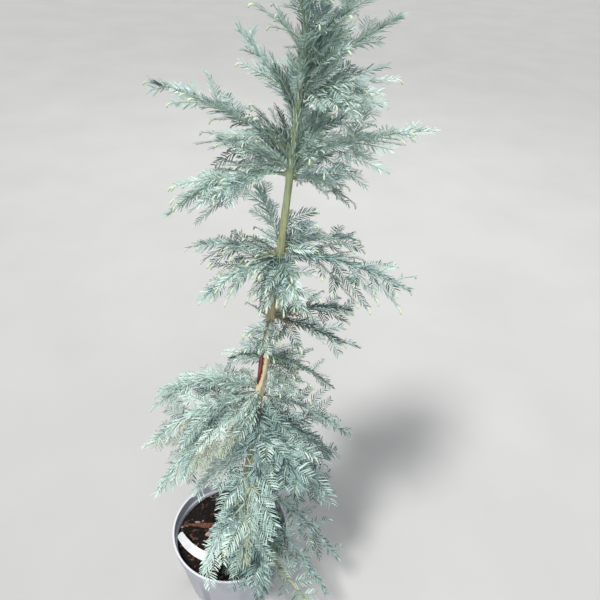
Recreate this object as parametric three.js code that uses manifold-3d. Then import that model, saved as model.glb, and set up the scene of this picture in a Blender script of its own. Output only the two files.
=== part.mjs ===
// Young coast redwood, blue-leaved and weeping low down, in a round grey nursery pot.
// Millimetres, +Z up, +Y away from the viewer. The origin is the centre of the pot's flat underside.

import * as THREE from "three";
import { mergeVertices } from "three/addons/utils/BufferGeometryUtils.js";
import Module from "manifold-3d";

const wasm = await Module();
wasm.setup();

// Space kept between neighbouring pieces that touch on the real plant.
const GAP = 0.3;
// Edges and slivers shorter than this are closed up after joining.
const SMALLEST_EDGE = 0.04;
const UP = new THREE.Vector3(0, 0, 1);
const AWAY = new THREE.Vector3(0, 1, 0);

// Pot: a five litre nursery pot, filled to a little under its rim.
const POT_HEIGHT = 170;
const POT_BASE_RADIUS = 91;
const POT_RIM_RADIUS = 121;
const POT_WALL = 2;
const RIM_BAND_HEIGHT = 26;
const RIM_LIP = 3;
const POT_SIDES = 28;
const LIP_BEVEL = 1;
const DRAIN_NOTCHES = 8;
const NOTCH_WIDTH = 16;
const NOTCH_HEIGHT = 7;
const COMPOST_TOP = 152;
const COMPOST_EDGE_DROP = 7;
const COMPOST_CROWN_RADIUS = 45;
const LABEL_WIDTH = 18;
const LABEL_THICKNESS = 0.8;
const LABEL_STEPS = 7;

// Trunk: height along the stem, its lean to the right, and its taper.
const TRUNK_TOP = 1330;
const LEADER_TOP = 1500;
const LEAN = 97;
const LEAN_EASED = 6.5;
const TRUNK_BASE_RADIUS = 7;
const TRUNK_TIP_RADIUS = 0.9;
const TAPER_POWER = 2.2;
const FLARE = 4.5;
const FLARE_HEIGHT = 14;
const TRUNK_SIDES = 10;
const TRUNK_STEPS = 18;
const TRUNK_STEP_GROWTH = 1.25;

// Limbs: how they arch, more where they weep, how thick they are, and the share that is bare bough.
const ARCH_LEAST = 0.05;
const ARCH_WEEPING = 0.1;
const BOUGH_BASE_RADIUS = 2.6;
const BOUGH_TIP_RADIUS = 1.5;
const STEM_RADIUS = 1.5;
const STEM_TIP_RADIUS = 0.6;
const BARE_SHARE = 0.17;
const STEM_SHARE = 0.62;
const STEM_INTO_BLADE = 0.02;
const BOUGH_SIDES = 6;
const STEM_SIDES = 3;
const LIMB_STEPS = 3;

// Leader: its stem and end blade as shares of its height, then the shoots round it, the lowest one longest.
const LEADER_STEM_SHARE = 0.7;
const LEADER_BLADE_FROM = 0.66;
const LEADER_SIDES = 5;
const LEADER_TAPER = 0.6;
const LEADER_SHOOTS = 7;
const LEADER_SHOOT = 62;
const LEADER_SHOOT_TAPER = 0.45;
const LEADER_SHOOT_FROM = 0.06;
const LEADER_SHOOT_SPAN = 0.6;
const LEADER_TURN = 137.5;
const LEADER_FIRST_HEADING = 20;
const LEADER_ROLL = 0.3;

// Side shoots: where they stand on a limb, how far they reach and how they turn.
// Their reach swells and dies away along the limb as a half wave does, from one phase over a span of phases.
const SHOOT_STEP = 27;
const SHOOT_FROM = 14;
const SHOOTS_PAST_STEM = 0.04;
const SHOOT_SWELL_FROM = 0.22;
const SHOOT_SWELL_SPAN = 0.85;
const SHOOT_SWELL_END = 0.9;
const SHOOT_SHARE = 0.47;
const SHOOT_LONGEST = 80;
const SHOOT_SHORTEST = 34;
const SHOOT_LENGTH_VARIES = 0.15;
const SHOOT_ANGLE = 46;
const SHOOT_ANGLE_VARIES = 7;
const SHOOT_SAG = 0.16;
const SHOOT_TILT = 0.8;
const SHOOT_TILT_DOWN = 0.4;
const SHOOT_ROLL = 1.3;
const LOWEST_FOLIAGE = 14;
// Each kind of variation takes its numbers from a place of its own.
const ANGLE_DRAW = 20;
const TILT_DRAW = 40;
const ROLL_DRAW = 60;

// Needles: each tooth of a blade stands for a few needles side by side.
const TOOTH_PITCH = 18;
const FEWEST_TEETH = 3;
const NEEDLE = 27;
const NEEDLE_VARIES = 0.1;
const NEEDLE_SWELL_FROM = 0.28;
const NEEDLE_SWELL_SPAN = 0.5;
const NEEDLE_ANGLE = 50;
const BLADE_CORE = 1.5;
const BLADE_THICKNESS = 1.6;
const CORE_SHARE = 0.94;
const CORE_TAPER = 0.5;
const TOOTH_DROOP = 0.12;

// Every limb: the way it heads (degrees, 0 to the right, 90 away), its reach and its rise or fall to the tip.
// A tier's limbs leave the trunk one below the other. A limb marked "bough" has its own bare bough first.
const TIERS = [
  {
    tier: "crown", top: 1285, step: 22, limbs: [
      ["front", -75, 66, 78],
      ["back", 100, 72, 84],
      ["left", 188, 78, 92],
      ["right", 12, 84, 92],
    ],
  },
  {
    tier: "rising", top: 1115, step: 17, limbs: [
      ["right_steep", 14, 95, 120],
      ["right", 26, 131, 72, "bough"],
      ["front", -36, 88, 18],
      ["left", 148, 92, 82],
      ["back", 96, 108, 52],
    ],
  },
  {
    tier: "upper", top: 1024, step: 10, limbs: [
      ["right_mid", 40, 120, 26],
      ["left_long", 163, 205, 58, "bough"],
      ["right_long", 8, 186, 41, "bough"],
      ["back_left", 137, 152, -14],
      ["left_weeping", 166, 185, -101, "bough"],
      ["back_right", 60, 140, -76],
    ],
  },
  {
    tier: "middle", top: 872, step: 5, limbs: [
      ["back", 125, 68, 62],
      ["right_back", 36, 130, -18],
      ["right", -6, 190, -37, "bough"],
      ["left", 166, 130, -10, "bough"],
      ["left_low", -160, 106, -46],
      ["front", -68, 104, -14],
    ],
  },
  {
    tier: "gap", top: 750, step: 5, limbs: [
      ["right_back", 24, 138, -26, "bough"],
      ["right", -22, 120, -8],
      ["front", -100, 64, -6],
      ["back", 84, 84, -62],
    ],
  },
  {
    tier: "sparse", top: 660, step: 8, limbs: [
      ["right", 4, 118, -70],
      ["left", 136, 92, -62],
      ["back_right", 62, 120, -108],
    ],
  },
  {
    tier: "weeping", top: 586, step: 7, limbs: [
      ["left_back", 151, 220, -128, "bough"],
      ["left", -172, 205, -132, "bough"],
      ["right", 2, 164, -98],
      ["left_front", -158, 192, -198, "bough"],
    ],
  },
  {
    tier: "lower", top: 548, step: 12, limbs: [
      ["front", -84, 124, -44],
      ["right", -14, 134, -72],
      ["front_right", -54, 150, -48],
    ],
  },
  {
    tier: "skirt", top: 450, step: 12, limbs: [
      ["right", -8, 156, -112],
      ["left", -150, 104, -66],
      ["front", -88, 150, -124],
      ["back", 88, 132, -128],
    ],
  },
  {
    tier: "foot", top: 330, step: 16, limbs: [
      ["right", -16, 204, -160, "bough"],
      ["back_right", 48, 140, -84],
      ["front_left", -116, 142, -80],
      ["front_right", -34, 216, -128],
      ["front", -70, 176, -34],
    ],
  },
];

const radians = (degrees) => (degrees * Math.PI) / 180;

// A repeatable number from 0 to 1 for the k-th shoot of the n-th limb.
function chance(n, k) {
  const wave = Math.sin(n * 12.9898 + k * 78.233) * 43758.5453;
  return wave - Math.floor(wave);
}

// Trunk centre line at a height.
function trunkAt(height) {
  const u = height / 1000;
  return new THREE.Vector3(LEAN * u - LEAN_EASED * u ** 5, 0, height);
}

function trunkRadius(height) {
  const t = THREE.MathUtils.clamp((height - COMPOST_TOP) / (LEADER_TOP - COMPOST_TOP), 0, 1);
  const flare = FLARE * Math.exp(-(height - COMPOST_TOP) / FLARE_HEIGHT);
  return TRUNK_TIP_RADIUS + (TRUNK_BASE_RADIUS - TRUNK_TIP_RADIUS) * (1 - t ** TAPER_POWER) + flare;
}

// Moves a unit cylinder or box that stands along Y onto a line. sizeAt gives its half width and half thickness.
function bendAlong(geometry, lineAt, sizeAt, reference = UP) {
  geometry.deleteAttribute("normal");
  geometry.deleteAttribute("uv");
  const bent = mergeVertices(geometry);
  const spots = bent.getAttribute("position");
  for (let i = 0; i < spots.count; i += 1) {
    const t = spots.getY(i) + 0.5;
    const { across, over } = frameAt(lineAt, t, reference);
    const [wide, thick] = sizeAt(t);
    const spot = lineAt(t);
    spot.addScaledVector(across, spots.getX(i) * wide);
    spot.addScaledVector(over, spots.getZ(i) * thick);
    spots.setXYZ(i, spot.x, spot.y, spot.z);
  }
  return bent;
}

// Directions along, across and over a line at t.
function frameAt(lineAt, t, reference = UP) {
  const nudge = 0.01;
  const along = lineAt(Math.min(1, t + nudge)).sub(lineAt(Math.max(0, t - nudge))).normalize();
  const across = along.clone().cross(reference).normalize();
  const over = across.clone().cross(along);
  return { along, across, over };
}

function taperedTube(lineAt, startRadius, endRadius, sides, steps) {
  const tube = new THREE.CylinderGeometry(1, 1, 1, sides, steps);
  const radiusAt = (t) => startRadius + (endRadius - startRadius) * t;
  return bendAlong(tube, lineAt, (t) => [radiusAt(t), radiusAt(t)]);
}

// Solids: closed meshes for joining and cutting, and back.
function toSolid(geometry) {
  const spots = new Float32Array(geometry.getAttribute("position").array);
  const corners = new Uint32Array(geometry.getIndex().array);
  return new wasm.Manifold(new wasm.Mesh({ numProp: 3, vertProperties: spots, triVerts: corners }));
}

function toGeometry(solid) {
  const mesh = solid.getMesh();
  const geometry = new THREE.BufferGeometry();
  geometry.setAttribute("position", new THREE.BufferAttribute(new Float32Array(mesh.vertProperties), 3));
  geometry.setIndex(Array.from(mesh.triVerts));
  geometry.computeVertexNormals();
  return geometry;
}

// The largest body of a solid, without scraps or sealed hollows.
function mainBody(solid) {
  const bodies = solid.simplify(SMALLEST_EDGE).decompose();
  return bodies.reduce((best, body) => (body.volume() > best.volume() ? body : best));
}

// A turned body from its profile of [radius, height] points, on the Z axis.
function turned(profile, sides) {
  const points = profile.map(([radius, height]) => new THREE.Vector2(radius, height));
  const body = new THREE.LatheGeometry(points, sides);
  body.rotateX(Math.PI / 2);
  body.deleteAttribute("normal");
  body.deleteAttribute("uv");
  return mergeVertices(body);
}

const wallRadius = (height) => {
  const bandFoot = POT_HEIGHT - RIM_BAND_HEIGHT;
  return POT_BASE_RADIUS + (POT_RIM_RADIUS - RIM_LIP - POT_WALL - POT_BASE_RADIUS) * (height / bandFoot);
};

function pot() {
  const bandFoot = POT_HEIGHT - RIM_BAND_HEIGHT;
  const band = POT_RIM_RADIUS - RIM_LIP;
  const profile = [
    [0, 0],
    [POT_BASE_RADIUS - POT_WALL, 0],
    [wallRadius(POT_WALL), POT_WALL],
    [wallRadius(bandFoot), bandFoot],
    [band, bandFoot + POT_WALL],
    [band + LIP_BEVEL, POT_HEIGHT - RIM_LIP],
    [POT_RIM_RADIUS, POT_HEIGHT - RIM_LIP + LIP_BEVEL],
    [POT_RIM_RADIUS, POT_HEIGHT],
    [band - LIP_BEVEL, POT_HEIGHT],
    [band - POT_WALL, bandFoot + POT_WALL],
    [wallRadius(bandFoot) - POT_WALL, bandFoot],
    [wallRadius(POT_WALL) - POT_WALL, POT_WALL],
    [0, POT_WALL],
  ];
  let body = toSolid(turned(profile, POT_SIDES));
  for (let i = 0; i < DRAIN_NOTCHES; i += 1) {
    body = body.subtract(drainNotch((i + 0.5) * (360 / DRAIN_NOTCHES)));
  }
  return body;
}

// One drain cut through the foot of the wall.
function drainNotch(degrees) {
  const cut = new THREE.BoxGeometry(4 * POT_WALL, NOTCH_WIDTH, NOTCH_HEIGHT);
  cut.translate(POT_BASE_RADIUS, 0, POT_WALL + NOTCH_HEIGHT / 2);
  cut.rotateZ(radians(degrees));
  cut.deleteAttribute("normal");
  cut.deleteAttribute("uv");
  return toSolid(mergeVertices(cut));
}

function compost() {
  const edge = COMPOST_TOP - COMPOST_EDGE_DROP;
  const floor = POT_WALL + GAP;
  const inside = POT_WALL + 2 * GAP;
  const bandFoot = POT_HEIGHT - RIM_BAND_HEIGHT;
  const profile = [
    [0, floor],
    [wallRadius(floor) - inside, floor],
    [wallRadius(bandFoot) - inside, bandFoot],
    [wallRadius(bandFoot) - inside, edge],
    [COMPOST_CROWN_RADIUS, COMPOST_TOP],
    [0, COMPOST_TOP],
  ];
  return toSolid(turned(profile, POT_SIDES));
}

// Blank white label, from the pot's left wall down onto the compost.
function plantLabel() {
  const line = new THREE.QuadraticBezierCurve3(
    new THREE.Vector3(-104.9, -18.5, 163),
    new THREE.Vector3(-74, -56, 153),
    new THREE.Vector3(-28, -62, 151.2),
  );
  const strip = new THREE.BoxGeometry(2, 1, 2, 1, LABEL_STEPS, 1);
  const size = [LABEL_WIDTH / 2, LABEL_THICKNESS / 2];
  return toSolid(bendAlong(strip, (t) => line.getPoint(t), () => size));
}

// Trunk up to the leader, cut flat at the compost. A spare radius gives the space kept clear round it.
function trunk(spare = 0) {
  const foot = COMPOST_TOP - FLARE;
  const heightAt = (t) => foot + (TRUNK_TOP - foot) * t ** TRUNK_STEP_GROWTH;
  const tube = new THREE.CylinderGeometry(1, 1, 1, TRUNK_SIDES, TRUNK_STEPS);
  const sizeAt = (t) => [trunkRadius(heightAt(t)) + spare, trunkRadius(heightAt(t)) + spare];
  const whole = toSolid(bendAlong(tube, (t) => trunkAt(heightAt(t)), sizeAt, AWAY));
  return whole.trimByPlane([0, 0, 1], COMPOST_TOP + GAP);
}

// The line of a limb from the middle of the trunk to its tip, an arch in one upright plane.
function limbLine(height, heading, reach, rise) {
  const start = trunkAt(height);
  const out = new THREE.Vector3(Math.cos(radians(heading)), Math.sin(radians(heading)), 0);
  const tip = start.clone().addScaledVector(out, reach).addScaledVector(UP, rise);
  const fall = THREE.MathUtils.clamp(-rise / reach, 0, 1);
  const arch = (ARCH_LEAST + ARCH_WEEPING * fall) * Math.hypot(reach, rise);
  const bend = start.clone().lerp(tip, 0.5).addScaledVector(UP, 2 * arch);
  return new THREE.QuadraticBezierCurve3(start, bend, tip);
}

// A blade of needles: a slim core along a line, with teeth down both sides.
function needleBlade(lineAt, length, roll, seed) {
  const teeth = Math.max(FEWEST_TEETH, Math.round(length / TOOTH_PITCH));
  const blade = new THREE.BufferGeometry().setFromPoints(bladeSpots(lineAt, teeth, roll, seed));
  blade.setIndex(bladeFaces(teeth));
  return toSolid(blade);
}

// Four corners of the core at each rung, then a pair of tooth tips for each step, then the end.
function bladeSpots(lineAt, teeth, roll, seed) {
  const spots = [];
  const rungs = [];
  for (let i = 0; i <= teeth; i += 1) {
    const t = (CORE_SHARE * i) / teeth;
    const rung = { t, ...frameAt(lineAt, t) };
    rung.across.applyAxisAngle(rung.along, roll);
    rung.over.applyAxisAngle(rung.along, roll);
    rungs.push(rung);
    const taper = 1 - CORE_TAPER * t;
    for (const wide of [-BLADE_CORE * taper, BLADE_CORE * taper]) {
      for (const thick of [BLADE_THICKNESS * taper, -BLADE_THICKNESS * taper]) {
        const corner = lineAt(t).addScaledVector(rung.across, wide);
        spots.push(corner.addScaledVector(rung.over, thick / 2));
      }
    }
  }
  for (let i = 0; i < teeth; i += 1) {
    for (const side of [-1, 1]) spots.push(toothTip(lineAt, rungs[i], rungs[i + 1], side, chance(seed, i)));
  }
  spots.push(lineAt(1));
  return spots;
}

// The tip of one tooth: it leans forward and droops, and is shorter near both ends of its blade.
function toothTip(lineAt, rung, next, side, luck) {
  const swell = Math.sin(Math.PI * (NEEDLE_SWELL_FROM + NEEDLE_SWELL_SPAN * rung.t));
  const needle = NEEDLE * swell * (1 + NEEDLE_VARIES * (2 * luck - 1));
  const root = lineAt((rung.t + next.t) / 2);
  root.addScaledVector(rung.along, needle * Math.cos(radians(NEEDLE_ANGLE)));
  root.addScaledVector(rung.across, side * needle * Math.sin(radians(NEEDLE_ANGLE)));
  return root.addScaledVector(rung.over, -TOOTH_DROOP * needle);
}

// Faces of a blade, over the spots in the order that bladeSpots lists them.
function bladeFaces(teeth) {
  const faces = [];
  const rungAt = (i) => [4 * i, 4 * i + 1, 4 * i + 2, 4 * i + 3];
  const toothAt = (i, side) => 4 * (teeth + 1) + 2 * i + side;
  const quad = (a, b, c, d) => faces.push(a, b, c, a, c, d);
  const [firstLeft, firstLeftUnder, firstRight, firstRightUnder] = rungAt(0);
  quad(firstLeft, firstLeftUnder, firstRightUnder, firstRight);
  for (let i = 0; i < teeth; i += 1) {
    const [left, leftUnder, right, rightUnder] = rungAt(i);
    const [nextLeft, nextLeftUnder, nextRight, nextRightUnder] = rungAt(i + 1);
    quad(right, nextRight, nextLeft, left);
    quad(rightUnder, leftUnder, nextLeftUnder, nextRightUnder);
    const tipLeft = toothAt(i, 0);
    const tipRight = toothAt(i, 1);
    faces.push(left, nextLeft, tipLeft, nextLeftUnder, leftUnder, tipLeft);
    faces.push(left, tipLeft, leftUnder, nextLeftUnder, tipLeft, nextLeft);
    faces.push(nextRight, right, tipRight, rightUnder, nextRightUnder, tipRight);
    faces.push(rightUnder, tipRight, right, nextRight, tipRight, nextRightUnder);
  }
  const [left, leftUnder, right, rightUnder] = rungAt(teeth);
  const end = toothAt(teeth, 0);
  faces.push(right, end, left, leftUnder, end, rightUnder);
  faces.push(left, end, leftUnder, rightUnder, end, right);
  return faces;
}

// All limbs, from the tiers, with their lines.
function allLimbs() {
  const limbs = [];
  for (const { tier, top, step, limbs: rows } of TIERS) {
    rows.forEach(([name, heading, reach, rise, kind], i) => {
      const line = limbLine(top - i * step, heading, reach, rise);
      const bough = kind === "bough";
      limbs.push({ name: `${tier}_${name}`, number: limbs.length, line, bough, length: line.getLength() });
    });
  }
  return limbs;
}

// A bough runs from the trunk to where its foliage starts.
function bough(limb, clearance) {
  const lineAt = (t) => limb.line.getPointAt(t * BARE_SHARE);
  const tube = taperedTube(lineAt, BOUGH_BASE_RADIUS, BOUGH_TIP_RADIUS, BOUGH_SIDES, LIMB_STEPS);
  return mainBody(toSolid(tube).subtract(clearance));
}

// The stem of a mass, from its bough's tip or from the trunk, with the blade at its end.
function massStem(limb, clearance) {
  const from = limb.bough ? BARE_SHARE + GAP / limb.length : 0;
  const to = STEM_SHARE + STEM_INTO_BLADE;
  const lineAt = (t) => limb.line.getPointAt(from + (to - from) * t);
  const stem = toSolid(taperedTube(lineAt, STEM_RADIUS, STEM_TIP_RADIUS, STEM_SIDES, LIMB_STEPS));
  const bladeAt = (t) => limb.line.getPointAt(STEM_SHARE + (1 - STEM_SHARE) * t);
  const blade = needleBlade(bladeAt, limb.length * (1 - STEM_SHARE), 0, limb.number);
  return mainBody(stem.add(blade).subtract(clearance));
}

// Side shoots stand left and right by turns and are longest a third of the way out.
function sideShoots(limb) {
  const from = (limb.bough ? BARE_SHARE * limb.length : trunkRadius(limb.line.v0.z)) + SHOOT_FROM;
  const to = (STEM_SHARE + SHOOTS_PAST_STEM) * limb.length;
  const count = Math.max(2, Math.round((to - from) / SHOOT_STEP));
  const shoots = [];
  for (let k = 0; k < count; k += 1) {
    const share = (from + ((to - from) * k) / (count - 1 || 1)) / limb.length;
    shoots.push(sideShoot(limb, k, share));
  }
  return shoots;
}

function sideShoot(limb, k, share) {
  const side = k % 2 === 0 ? 1 : -1;
  const { along, across, over } = frameAt((t) => limb.line.getPointAt(t), share);
  const swell = Math.sin(Math.PI * Math.min(SHOOT_SWELL_END, SHOOT_SWELL_FROM + SHOOT_SWELL_SPAN * share));
  const luck = 1 + SHOOT_LENGTH_VARIES * (2 * chance(limb.number, k) - 1);
  const length = THREE.MathUtils.clamp(SHOOT_SHARE * limb.length * swell * luck, SHOOT_SHORTEST, SHOOT_LONGEST);
  const angle = radians(SHOOT_ANGLE + SHOOT_ANGLE_VARIES * (2 * chance(limb.number, k + ANGLE_DRAW) - 1));
  const way = along.clone().multiplyScalar(Math.cos(angle)).addScaledVector(across, side * Math.sin(angle));
  way.addScaledVector(over, SHOOT_TILT * (chance(limb.number, k + TILT_DRAW) - SHOOT_TILT_DOWN)).normalize();
  const root = limb.line.getPointAt(share);
  const sagAt = (t) => SHOOT_SAG * length * t * t;
  const lineAt = (t) => root.clone().addScaledVector(way, length * t).addScaledVector(UP, -sagAt(t));
  const roll = SHOOT_ROLL * (chance(limb.number, k + ROLL_DRAW) - 0.5);
  return needleBlade(lineAt, length, roll, limb.number + k);
}

// True where a solid keeps its distance from every other one and from the floor.
function isClear(solid, others) {
  const box = solid.boundingBox();
  if (box.min[2] < LOWEST_FOLIAGE) return false;
  return others.every((other) => {
    const far = other.box;
    for (let axis = 0; axis < 3; axis += 1) {
      if (box.min[axis] > far.max[axis] + GAP || box.max[axis] < far.min[axis] - GAP) return true;
    }
    return solid.minGap(other.solid, 2 * GAP) >= GAP;
  });
}

// Foliage at the very top: shoots stand round the leader, which carries on from the trunk's tip.
function leaderMass() {
  const height = LEADER_TOP - TRUNK_TOP;
  const lineAt = (t) => trunkAt(TRUNK_TOP + GAP + (height - GAP) * t);
  const stemAt = (t) => lineAt(LEADER_STEM_SHARE * t);
  const tube = new THREE.CylinderGeometry(1, 1, 1, LEADER_SIDES, LIMB_STEPS);
  const radiusAt = (t) => trunkRadius(TRUNK_TOP) * (1 - LEADER_TAPER * t);
  let mass = toSolid(bendAlong(tube, stemAt, (t) => [radiusAt(t), radiusAt(t)], AWAY));
  const endShare = 1 - LEADER_BLADE_FROM;
  mass = mass.add(needleBlade((t) => lineAt(LEADER_BLADE_FROM + endShare * t), endShare * height, 0, 0));
  for (let k = 0; k < LEADER_SHOOTS; k += 1) {
    const up = k / LEADER_SHOOTS;
    const heading = radians(LEADER_FIRST_HEADING + LEADER_TURN * k);
    const way = new THREE.Vector3(Math.cos(heading), Math.sin(heading), 1).normalize();
    const root = lineAt(LEADER_SHOOT_FROM + LEADER_SHOOT_SPAN * up);
    const length = LEADER_SHOOT * (1 - LEADER_SHOOT_TAPER * up);
    const shootAt = (t) => root.clone().addScaledVector(way, length * t);
    mass = mass.add(needleBlade(shootAt, length, LEADER_ROLL, k));
  }
  return mainBody(mass);
}

const finishes = {
  pot: { color: 0x8b8d9c, roughness: 0.45, metalness: 0 },
  compost: { color: 0x2e211b, roughness: 1, metalness: 0 },
  plant_label: { color: 0xf4f4f0, roughness: 0.4, metalness: 0 },
  wood: { color: 0x94784f, roughness: 0.8, metalness: 0 },
  needles: { color: 0x8fb0a8, roughness: 0.7, metalness: 0 },
};

const tree = new THREE.Group();
const placed = [];

function place(name, solid, finish) {
  const mesh = new THREE.Mesh(toGeometry(solid), new THREE.MeshStandardMaterial(finishes[finish]));
  mesh.name = name;
  tree.add(mesh);
  placed.push({ name, solid, box: solid.boundingBox() });
}

place("pot", pot(), "pot");
place("compost", compost(), "compost");
place("plant_label", plantLabel(), "plant_label");
place("trunk", trunk(), "wood");
place("foliage_leader", leaderMass(), "needles");

const limbs = allLimbs();
const clearance = trunk(GAP);
for (const limb of limbs.filter((each) => each.bough)) {
  place(`bough_${limb.name}`, bough(limb, clearance), "wood");
}

const stems = limbs.map((limb) => {
  const solid = massStem(limb, clearance);
  return { name: limb.name, solid, box: solid.boundingBox() };
});
limbs.forEach((limb, i) => {
  let mass = stems[i].solid;
  const others = placed.concat(stems.filter((stem, j) => j > i));
  for (const shoot of sideShoots(limb)) {
    if (isClear(shoot, others)) mass = mass.add(shoot);
  }
  place(`foliage_${limb.name}`, mainBody(mass), "needles");
});

export default tree;
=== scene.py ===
# Looks of a young blue-leaved coast redwood in a round nursery pot, dressed over its fixed solids.
# Lengths are in millimetres, as the tree was measured, and MM turns them into metres as each mesh is made.
# +Z is up, +Y away from the viewer, and the origin is the centre of the pot's flat underside.
import math
from collections import namedtuple
from types import SimpleNamespace
import bpy
import numpy as np
from mathutils import Matrix, Vector, noise


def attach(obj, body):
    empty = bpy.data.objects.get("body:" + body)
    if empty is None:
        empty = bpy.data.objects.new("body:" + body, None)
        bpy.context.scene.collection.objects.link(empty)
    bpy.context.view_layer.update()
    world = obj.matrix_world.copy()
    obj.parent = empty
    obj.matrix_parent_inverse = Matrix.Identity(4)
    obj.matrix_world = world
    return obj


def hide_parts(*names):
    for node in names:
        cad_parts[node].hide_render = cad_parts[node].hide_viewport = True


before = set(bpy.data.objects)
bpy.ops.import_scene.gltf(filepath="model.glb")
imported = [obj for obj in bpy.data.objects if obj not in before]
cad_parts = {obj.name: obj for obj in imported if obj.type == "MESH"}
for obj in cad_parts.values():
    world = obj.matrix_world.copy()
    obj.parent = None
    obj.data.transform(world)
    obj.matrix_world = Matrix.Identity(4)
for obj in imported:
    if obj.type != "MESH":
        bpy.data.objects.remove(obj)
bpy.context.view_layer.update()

MM = 0.001
UP = np.array([0.0, 0.0, 1.0])
AWAY = np.array([0.0, 1.0, 0.0])
SEED = 731
GOLDEN_TURN = 137.5

# Camera: where the photograph was taken from, its pitch below level, its roll, its lens and its sensor.
CAMERA_PLACE = (0.1138, -0.7375, 1.325)
CAMERA_PITCH = 36.5
CAMERA_ROLL = 3.9
CAMERA_LENS = 36.3
SENSOR_WIDTH = 36

# Floor, in metres, and the strength of the even sky.
FLOOR_RADIUS = 24
SKY_STRENGTH = 0.28

# Pot.
POT_HEIGHT = 170
POT_BASE_RADIUS = 91
POT_RIM_RADIUS = 121
POT_WALL = 2
POT_HOLLOW = 1.2
POT_FLOOR = 3.2
POT_SIDES = 144
FOOT_RING = 13
RIM_BAND_HEIGHT = 26
RIM_LIP = 3
# Depth of the painted highlight along the top of the rim.
RIM_HIGHLIGHT_DEPTH = 5
BAND_FOOT = POT_HEIGHT - RIM_BAND_HEIGHT
BAND_RADIUS = POT_RIM_RADIUS - RIM_LIP
DRAIN_NOTCHES = 8
NOTCH_WIDTH = 16
NOTCH_HEIGHT = 7
NOTCH_DEPTH = 5
NOTCH_POINTS = 24

# Compost, with its clods as pairs of height and closeness, and the bark chips on it.
COMPOST_TOP = 152
COMPOST_EDGE_DROP = 7
COMPOST_CROWN_RADIUS = 45
COMPOST_DIP = 9
COMPOST_RINGS = 84
COMPOST_SIDES = 260
COMPOST_CLODS = ((2.4, 0.045), (1.5, 0.13), (0.9, 0.33))
CHIP_COUNT = 520
CHIPS_WITHIN = 107
CHIP_SHORTEST = 3
CHIP_LONGEST = 14
CHIP_TONES = (0.5, 0.3, 0.12, 0.08)
TRUNK_FOOT_X = 14
TRUNK_CLEARANCE = 16
LONG_CHIP = ((-95, 11), (-19, 14))
PALE_CHIP = (-46, -8)

# Label: a strip from the wall down onto the compost, and its roll at each end in degrees.
LABEL_WIDTH = 18
LABEL_THICKNESS = 0.8
LABEL_CORNER = 3
LABEL_STEPS = 40
LABEL_LINE = ((-104.9, -18.5, 163), (-74, -56, 153), (-28, -62, 151.2))
LABEL_ROLL = (52, 12)

# Trunk, and how far its bark reaches.
TRUNK_TOP = 1330
LEADER_TOP = 1500
LEAN = 97
LEAN_EASED = 6.5
TRUNK_BASE_RADIUS = 7
TRUNK_TIP_RADIUS = 0.9
TAPER_POWER = 2.2
FLARE = 4.5
FLARE_HEIGHT = 14
BARK_FOOT = COMPOST_TOP - 5
BARK_TOP = TRUNK_TOP + 4
BARK_RINGS = 430
BARK_SIDES = 36
COLLAR_HEIGHT = 7.0
COLLAR_TURN = 0.6

# Bark colours up the trunk, and the old wound on it with its colours from its middle (0) outwards.
BARK_ZONES = (
    (0.00, (128, 100, 76)),
    (0.12, (188, 168, 140)),
    (0.28, (198, 184, 156)),
    (0.42, (200, 188, 160)),
    (0.47, (190, 176, 142)),
    (0.54, (168, 164, 136)),
    (0.64, (166, 172, 134)),
    (0.70, (150, 164, 128)),
    (1.00, (140, 166, 130)),
)
SCAR_LOW = 600
SCAR_HIGH = 696
SCAR_HEADING = -148
SCAR_HALF_WIDTH = 54
SCAR_SWELL = 2.6
SCAR_RINGS = (
    (0.00, (92, 46, 42)),
    (0.14, (150, 84, 78)),
    (0.24, (108, 54, 46)),
    # The near-black ring is painted shade in the crack at the wound's edge.
    (0.35, (46, 30, 25)),
    (0.39, (120, 84, 56)),
    (0.43, (232, 202, 152)),
    (0.60, (240, 226, 202)),
)

# Limbs and their side shoots, by the same rule as the solids.
ARCH_LEAST = 0.05
ARCH_WEEPING = 0.1
BOUGH_BASE_RADIUS = 2.6
BOUGH_TIP_RADIUS = 1.5
BOUGH_RINGS = 26
BOUGH_SIDES = 16
BARE_SHARE = 0.17
GREEN_BOUGHS_FROM = 950
STEM_SHARE = 0.62
LEADER_SHOOTS = 7
LEADER_SHOOT = 62
LEADER_SHOOT_TAPER = 0.45
LEADER_SHOOT_FROM = 0.06
LEADER_SHOOT_SPAN = 0.6
LEADER_SHOOT_CLIMB = 45
LEADER_FIRST_HEADING = 20
SHOOT_STEP = 27
SHOOT_FROM = 14
SHOOTS_PAST_STEM = 0.04
SHOOT_SWELL_FROM = 0.22
SHOOT_SWELL_SPAN = 0.85
SHOOT_SWELL_END = 0.9
SHOOT_SHARE = 0.47
SHOOT_LONGEST = 80
SHOOT_SHORTEST = 34
SHOOT_LENGTH_VARIES = 0.15
SHOOT_ANGLE = 46
SHOOT_ANGLE_VARIES = 7
SHOOT_SAG = 0.16
SHOOT_TILT = 0.8
SHOOT_TILT_DOWN = 0.4
SHOOT_ROLL = 1.3
SHOOT_BEND = 0.14

# Where each kind of variation starts among a limb's repeatable numbers.
CURL_DRAW = 7
LIFT_DRAW = 9
ANGLE_DRAW = 20
TILT_DRAW = 40
ROLL_DRAW = 60
TONE_DRAW = 80
BEND_DRAW = 100
FOOT_DRAW = 200
STEM_DRAW = 300
BARE_DRAW = 400

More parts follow.
